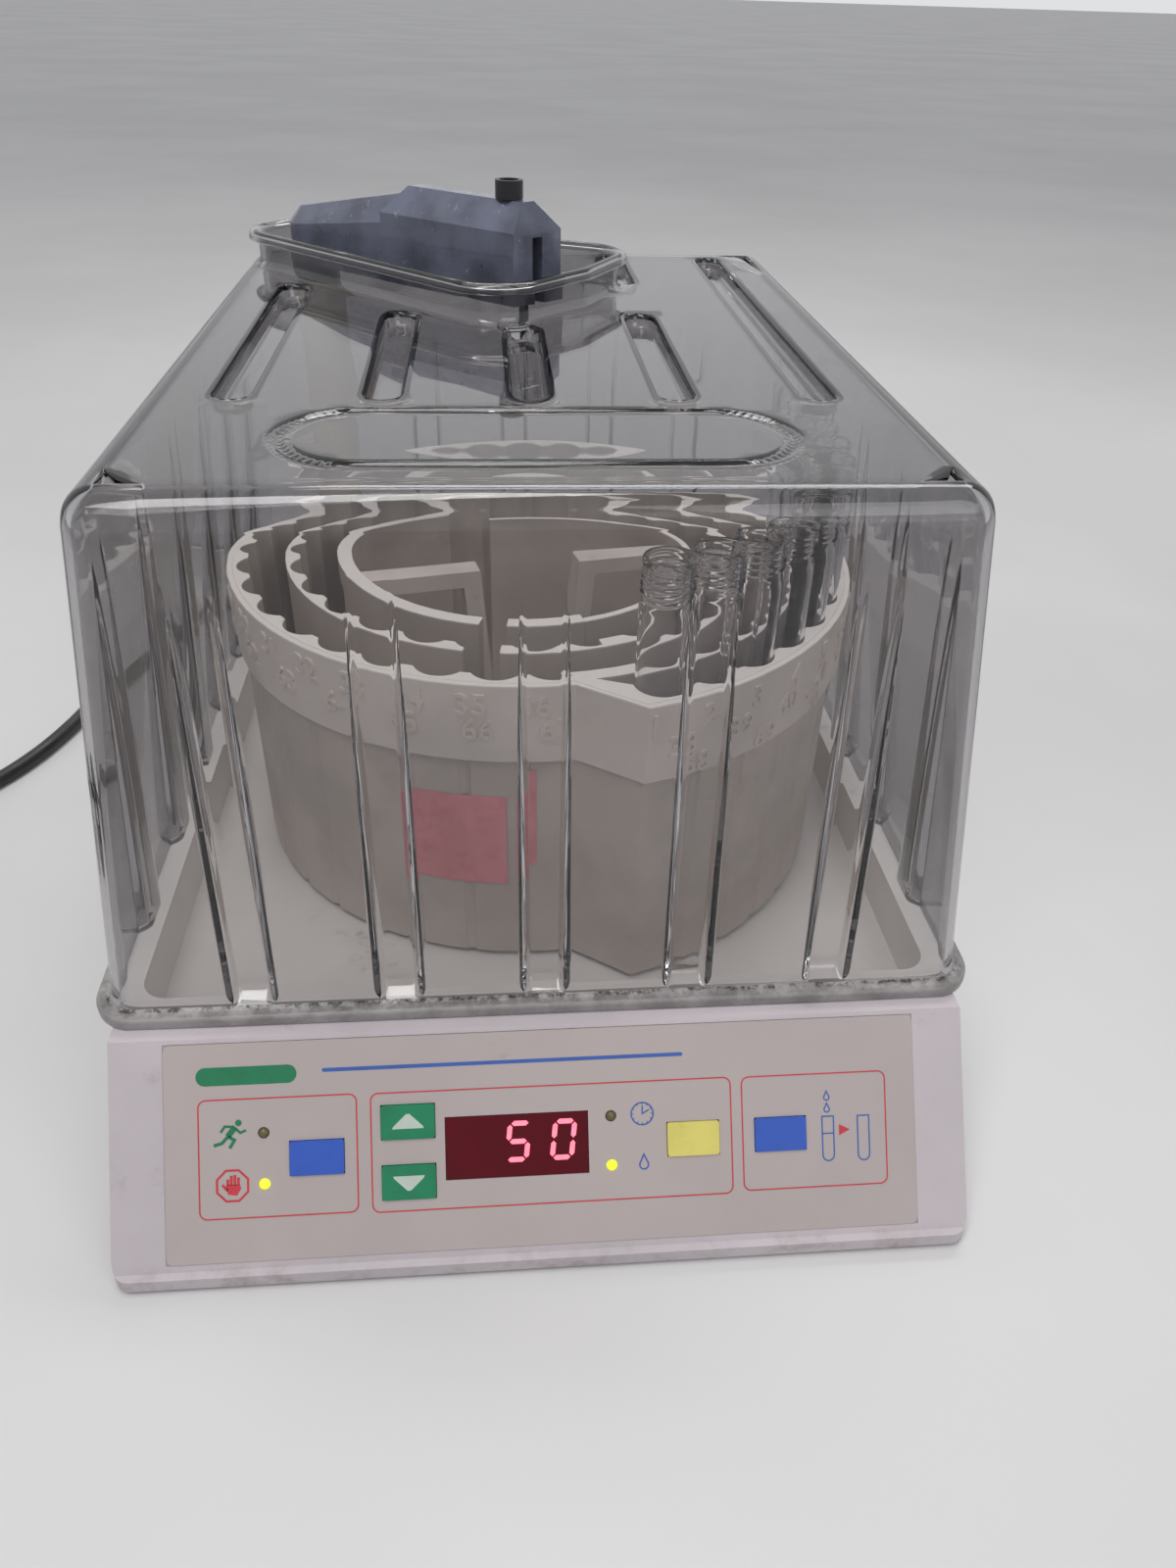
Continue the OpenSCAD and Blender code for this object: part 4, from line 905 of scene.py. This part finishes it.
class Print:
    """Flat printed shapes of one ink, gathered into one piece."""

    def __init__(self, name, look, body="base", w=FILM_W, slot="overlay_film"):
        self.name, self.look, self.body, self.slot, self.w = name, look, body, slot, w + INK_W
        self.points, self.faces = [], []

    def area(self, outline):
        base = len(self.points)
        self.points += [on_panel(u, v, self.w) for u, v in outline]
        self.faces.append(list(range(base, base + len(outline))))

    def line(self, path, width, closed=False):
        """A stroke of even width along a path, with mitred corners."""
        p = [Vector(q) for q in path]
        n = len(p)
        base = len(self.points)
        for i, q in enumerate(p):
            before = p[i - 1] if closed or i else None
            after = p[(i + 1) % n] if closed or i < n - 1 else None
            one = (q - before).normalized() if before is not None else (after - q).normalized()
            two = (after - q).normalized() if after is not None else one
            side = Vector((-one.y - two.y, one.x + two.x)).normalized()
            reach = width / 2 / max(side.dot(Vector((-one.y, one.x))), SHARPEST_MITRE)
            for s in (1, -1):
                e = q + side * reach * s
                self.points.append(on_panel(e.x, e.y, self.w))
        for i in range(n if closed else n - 1):
            a, b = base + 2 * i, base + 2 * ((i + 1) % n)
            self.faces.append([a, a + 1, b + 1, b])

    def done(self):
        mesh = mesh_from(self.name, self.points, self.faces)
        bm = bmesh.new()
        bm.from_mesh(mesh)
        for f in bm.faces:
            if f.normal.dot(PANEL_OUT) < 0:
                f.normal_flip()
        bm.to_mesh(mesh)
        bm.free()
        piece = new_piece(self.name, mesh, self.body, self.look, smooth=False)


def arc(u, v, r, start, sweep, steps):
    """Points on an arc from start, steps + 1 of them."""
    turns = [math.radians(start + sweep * k / steps) for k in range(steps + 1)]
    return [(u + r * math.cos(a), v + r * math.sin(a)) for a in turns]


def rounded(u0, v0, u1, v1, r, steps=6):
    """The outline of a rectangle with rounded corners."""
    corners = [(u1 - r, v1 - r, 0), (u0 + r, v1 - r, 90), (u0 + r, v0 + r, 180), (u1 - r, v0 + r, 270)]
    return [p for cu, cv, start in corners for p in arc(cu, cv, r, start, 90, steps)]


def circle(u, v, r, steps=28, start=0.0):
    return arc(u, v, r, start, 360, steps)[:-1]


def drop(u, v, height):
    """The outline of a falling drop whose tip is at the top."""
    r = height * 0.3
    low = v - height / 2 + r
    return [(u, v + height / 2)] + arc(u, low, r, 150, 240, 14)


def ink(name, colour):
    """A printed colour on the film."""
    return solid(name, colour, 0.4, tone=0.08, patch=120, grain=2600, bump=0.08)


def print_red():
    """Frames round the groups of keys, the stop sign and the arrow between the tubes."""
    red = Print("print_red", ink("ink_red", srgb(205, 62, 72)))
    for box in ((-101.3, 12.6, -56.1, 46.8), (-52, 12.1, 54.6, 46.6), (58, 12.6, 102, 46.4)):
        red.line(rounded(*box, 2.2), 0.42, closed=True)
    # stop sign: an octagon with an open hand
    u, v = -91.9, 22.0
    red.line(circle(u, v, 4.75, 8, 22.5), 0.65, closed=True)
    palm = [(-1.9, -0.2), (-1.3, -2.5), (1.2, -2.9), (2.4, -0.9), (2.1, 0.4), (-1.5, 0.4)]
    red.area([(u + du, v + dv) for du, dv in palm])
    for k, tip in enumerate((1.9, 2.9, 3.1, 2.3)):
        x = u - 1.35 + 1.0 * k
        red.line([(x, v), (x + 0.05, v + tip)], 0.8)
    red.line([(u - 1.4, v - 1.4), (u - 2.9, v + 0.4)], 0.8)
    red.area([(87.5, 27.6), (90.8, 29.3), (87.5, 31.0)])
    red.done()


def print_blue():
    """A plain rule, a clock, drops, and two tubes."""
    blue = Print("print_blue", ink("ink_blue", srgb(62, 98, 176)))
    blue.area(rounded(-65.8, 53.6, 40.4, 54.7, 0.5))
    u, v, dial = 27.8, 37.0, 3.3
    blue.line(circle(u, v, dial), 0.42, closed=True)
    for k in range(12):
        c, s = math.cos(math.radians(30 * k)), math.sin(math.radians(30 * k))
        blue.line([(u + r * c, v + r * s) for r in (dial - 0.7, dial - 0.2)], 0.25)
    blue.line([(u + 0.1, v + 2.4), (u, v), (u + 2.0, v + 1.1)], 0.4)
    blue.line(drop(28.0, 22.8, 4.4), 0.45, closed=True)
    for dv in (39.7, 36.1):
        blue.line(drop(83.9, dv, 2.7), 0.4, closed=True)
    bore = 1.75
    for u, foot, top in ((84.1, 20.2, 33.5), (95.0, 19.9, 33.3)):
        bottom = arc(u, foot + bore, bore, 180, 180, 10)[1:-1]
        left, right, knee = u - bore, u + bore, foot + bore
        outline = [(left, top), (left, knee), *bottom, (right, knee), (right, top)]
        blue.line(outline, 0.42, closed=True)
    blue.line([(82.3, 28.4), (85.9, 28.4)], 0.4)
    blue.done()


# Strokes of the running figure, from the middle of its back: points and width
RUNNER = [
    ([(1.6, 2.3), (-0.6, -0.4)], 1.7),
    ([(-0.6, -0.4), (1.3, -1.5), (-0.1, -3.8)], 0.95),
    ([(-0.6, -0.5), (-2.3, -2.3), (-4.6, -2.9)], 0.95),
    ([(1.4, 2.0), (3.0, 0.5), (4.6, 1.2)], 0.75),
    ([(1.2, 2.3), (-1.4, 2.5), (-2.6, 0.8)], 0.75),
]


def print_green():
    """The plain badge and the running figure."""
    green = Print("print_green", ink("ink_green", srgb(30, 122, 82)))
    green.area(rounded(-101.8, 50.9, -73.1, 56.2, 2.6, 10))
    u, v = -92.4, 36.6
    green.area(circle(u + 2.5, v + 3.4, 0.95, 16))
    for path, width in RUNNER:
        green.line([(u + du, v + dv) for du, dv in path], width)
    green.done()


# Right half of the arrow on the up key, from the key's middle
ARROW = [(4.6, -1.9), (4.3, -1.2), (0.5, 2.4)]


def print_arrows():
    """The arrows on the up and down keys."""
    pale = ink("ink_pale", srgb(196, 208, 198))
    u = -41.3
    left = [(-du, dv) for du, dv in reversed(ARROW)]
    for name, body, v, way in (("print_up", "up_key", 38, 1), ("print_down", "down_key", 20.5, -1)):
        mark = Print(name, pale, body, KEY_W, "key_green")
        mark.area([(u + du, v + dv * way) for du, dv in left[-1:] + ARROW + left[:-1]])
        mark.done()


# Bars of a digit: from and to as (column, row), rows counted up from the foot
BARS = {
    "a": (0, 2, 1, 2), "b": (1, 2, 1, 1), "c": (1, 1, 1, 0), "d": (0, 0, 1, 0),
    "e": (0, 1, 0, 0), "f": (0, 2, 0, 1), "g": (0, 1, 1, 1),
}
DIGIT_W, DIGIT_H, BAR_W, BAR_GAP, DIGIT_SLANT = 5.7, 10.6, 1.45, 0.35, 0.12
DIGIT_V = 30.6
DIGITS = ((-9.2, "acdfg"), (4.2, "abcdef"))


def digit_bar(x0, y0, x1, y1):
    """The pointed outline of one bar, about the digit's middle."""
    p = Vector(((x0 - 0.5) * DIGIT_W, (y0 / 2 - 0.5) * DIGIT_H))
    q = Vector(((x1 - 0.5) * DIGIT_W, (y1 / 2 - 0.5) * DIGIT_H))
    d = (q - p).normalized()
    p, q = p + d * BAR_GAP, q - d * BAR_GAP
    along = d * BAR_W / 2
    side = Vector((-d.y, d.x)) * BAR_W / 2
    return [p, p + along + side, q - along + side, q, q - along - side, p + along - side]


def make_digits():
    """The two lit digits, built from seven slanted bars each."""
    glow = Look("display_glow")
    spread = glow.band(glow.noise(500, 2), 0.3, 0.7, 0.85, 1.0)
    glow.set(Base_Color=srgb(255, 70, 96), Roughness=0.4,
             Emission_Color=srgb(255, 120, 140), Emission_Strength=glow.times(spread, 1.7))
    digits = Print("lit_digits", glow, w=WINDOW_W, slot="display_red")
    for centre, lit in DIGITS:
        for bar in lit:
            shape = digit_bar(*BARS[bar])
            digits.area([(centre + e.x + DIGIT_SLANT * e.y, DIGIT_V + e.y) for e in shape])
    digits.done()


print_red()
print_blue()
print_green()
print_arrows()
make_digits()


# ----------------------------------------------------------------- stage
FLOOR_HALF = 60
SEEN_AS, LIT_AS = 0.8, 0.33  # strength of the background to the eye, and as light
# Name, place, size, power in watts; each points at AIM
LAMPS = (
    ("key_light", (-0.3, -0.35, 1.5), (0.35, 1.3), 10.0),
    ("fill_light", (0.7, -1.1, 1.2), (0.9, 0.9), 5.5),
    ("back_light", (0.3, 0.9, 1.4), (1.3, 0.3), 6.0),
)
AIM = Vector((0, 0, 0.1))


def make_floor():
    """A wide, plain, pale floor."""
    h = FLOOR_HALF
    floor = mesh_from("floor", [(-h, -h, 0), (h, -h, 0), (h, h, 0), (-h, h, 0)], [(0, 1, 2, 3)])
    floor_object = bpy.data.objects.new("floor", floor)
    bpy.context.scene.collection.objects.link(floor_object)
    look = Look("floor")
    colour = look.mix(look.band(look.noise(1.5, 5), 0.35, 0.65), srgb(211, 210, 210), srgb(222, 221, 221))
    look.set(Base_Color=colour, Roughness=0.45)
    floor.materials.append(look.material)


def make_world():
    """A pale background: brighter to the eye, in gloss and through the cover than as light."""
    world = bpy.data.worlds.new("studio")
    bpy.context.scene.world = world
    world.use_nodes = True
    tree = world.node_tree
    path = tree.nodes.new("ShaderNodeLightPath")
    seen = path.outputs["Is Camera Ray"]
    for ray in ("Is Glossy Ray", "Is Transmission Ray"):
        either = tree.nodes.new("ShaderNodeMath")
        either.operation = "MAXIMUM"
        tree.links.new(seen, either.inputs[0])
        tree.links.new(path.outputs[ray], either.inputs[1])
        seen = either.outputs[0]
    strength = tree.nodes.new("ShaderNodeMapRange")
    tree.links.new(seen, strength.inputs[0])
    strength.inputs[3].default_value, strength.inputs[4].default_value = LIT_AS, SEEN_AS
    background = tree.nodes["Background"]
    background.inputs["Color"].default_value = (0.93, 0.94, 0.96, 1)
    tree.links.new(strength.outputs[0], background.inputs["Strength"])


def make_lamps():
    """Soft light from above on the left, from the front and from the back."""
    for name, place, size, power in LAMPS:
        lamp = bpy.data.lights.new(name, "AREA")
        lamp.shape, lamp.energy = "RECTANGLE", power
        lamp.size, lamp.size_y = size
        lamp_object = bpy.data.objects.new(name, lamp)
        bpy.context.scene.collection.objects.link(lamp_object)
        lamp_object.location = place
        lamp_object.rotation_euler = (AIM - Vector(place)).to_track_quat("-Z", "Y").to_euler()


make_floor()
make_world()
make_lamps()
bpy.context.scene.view_settings.view_transform = "Standard"
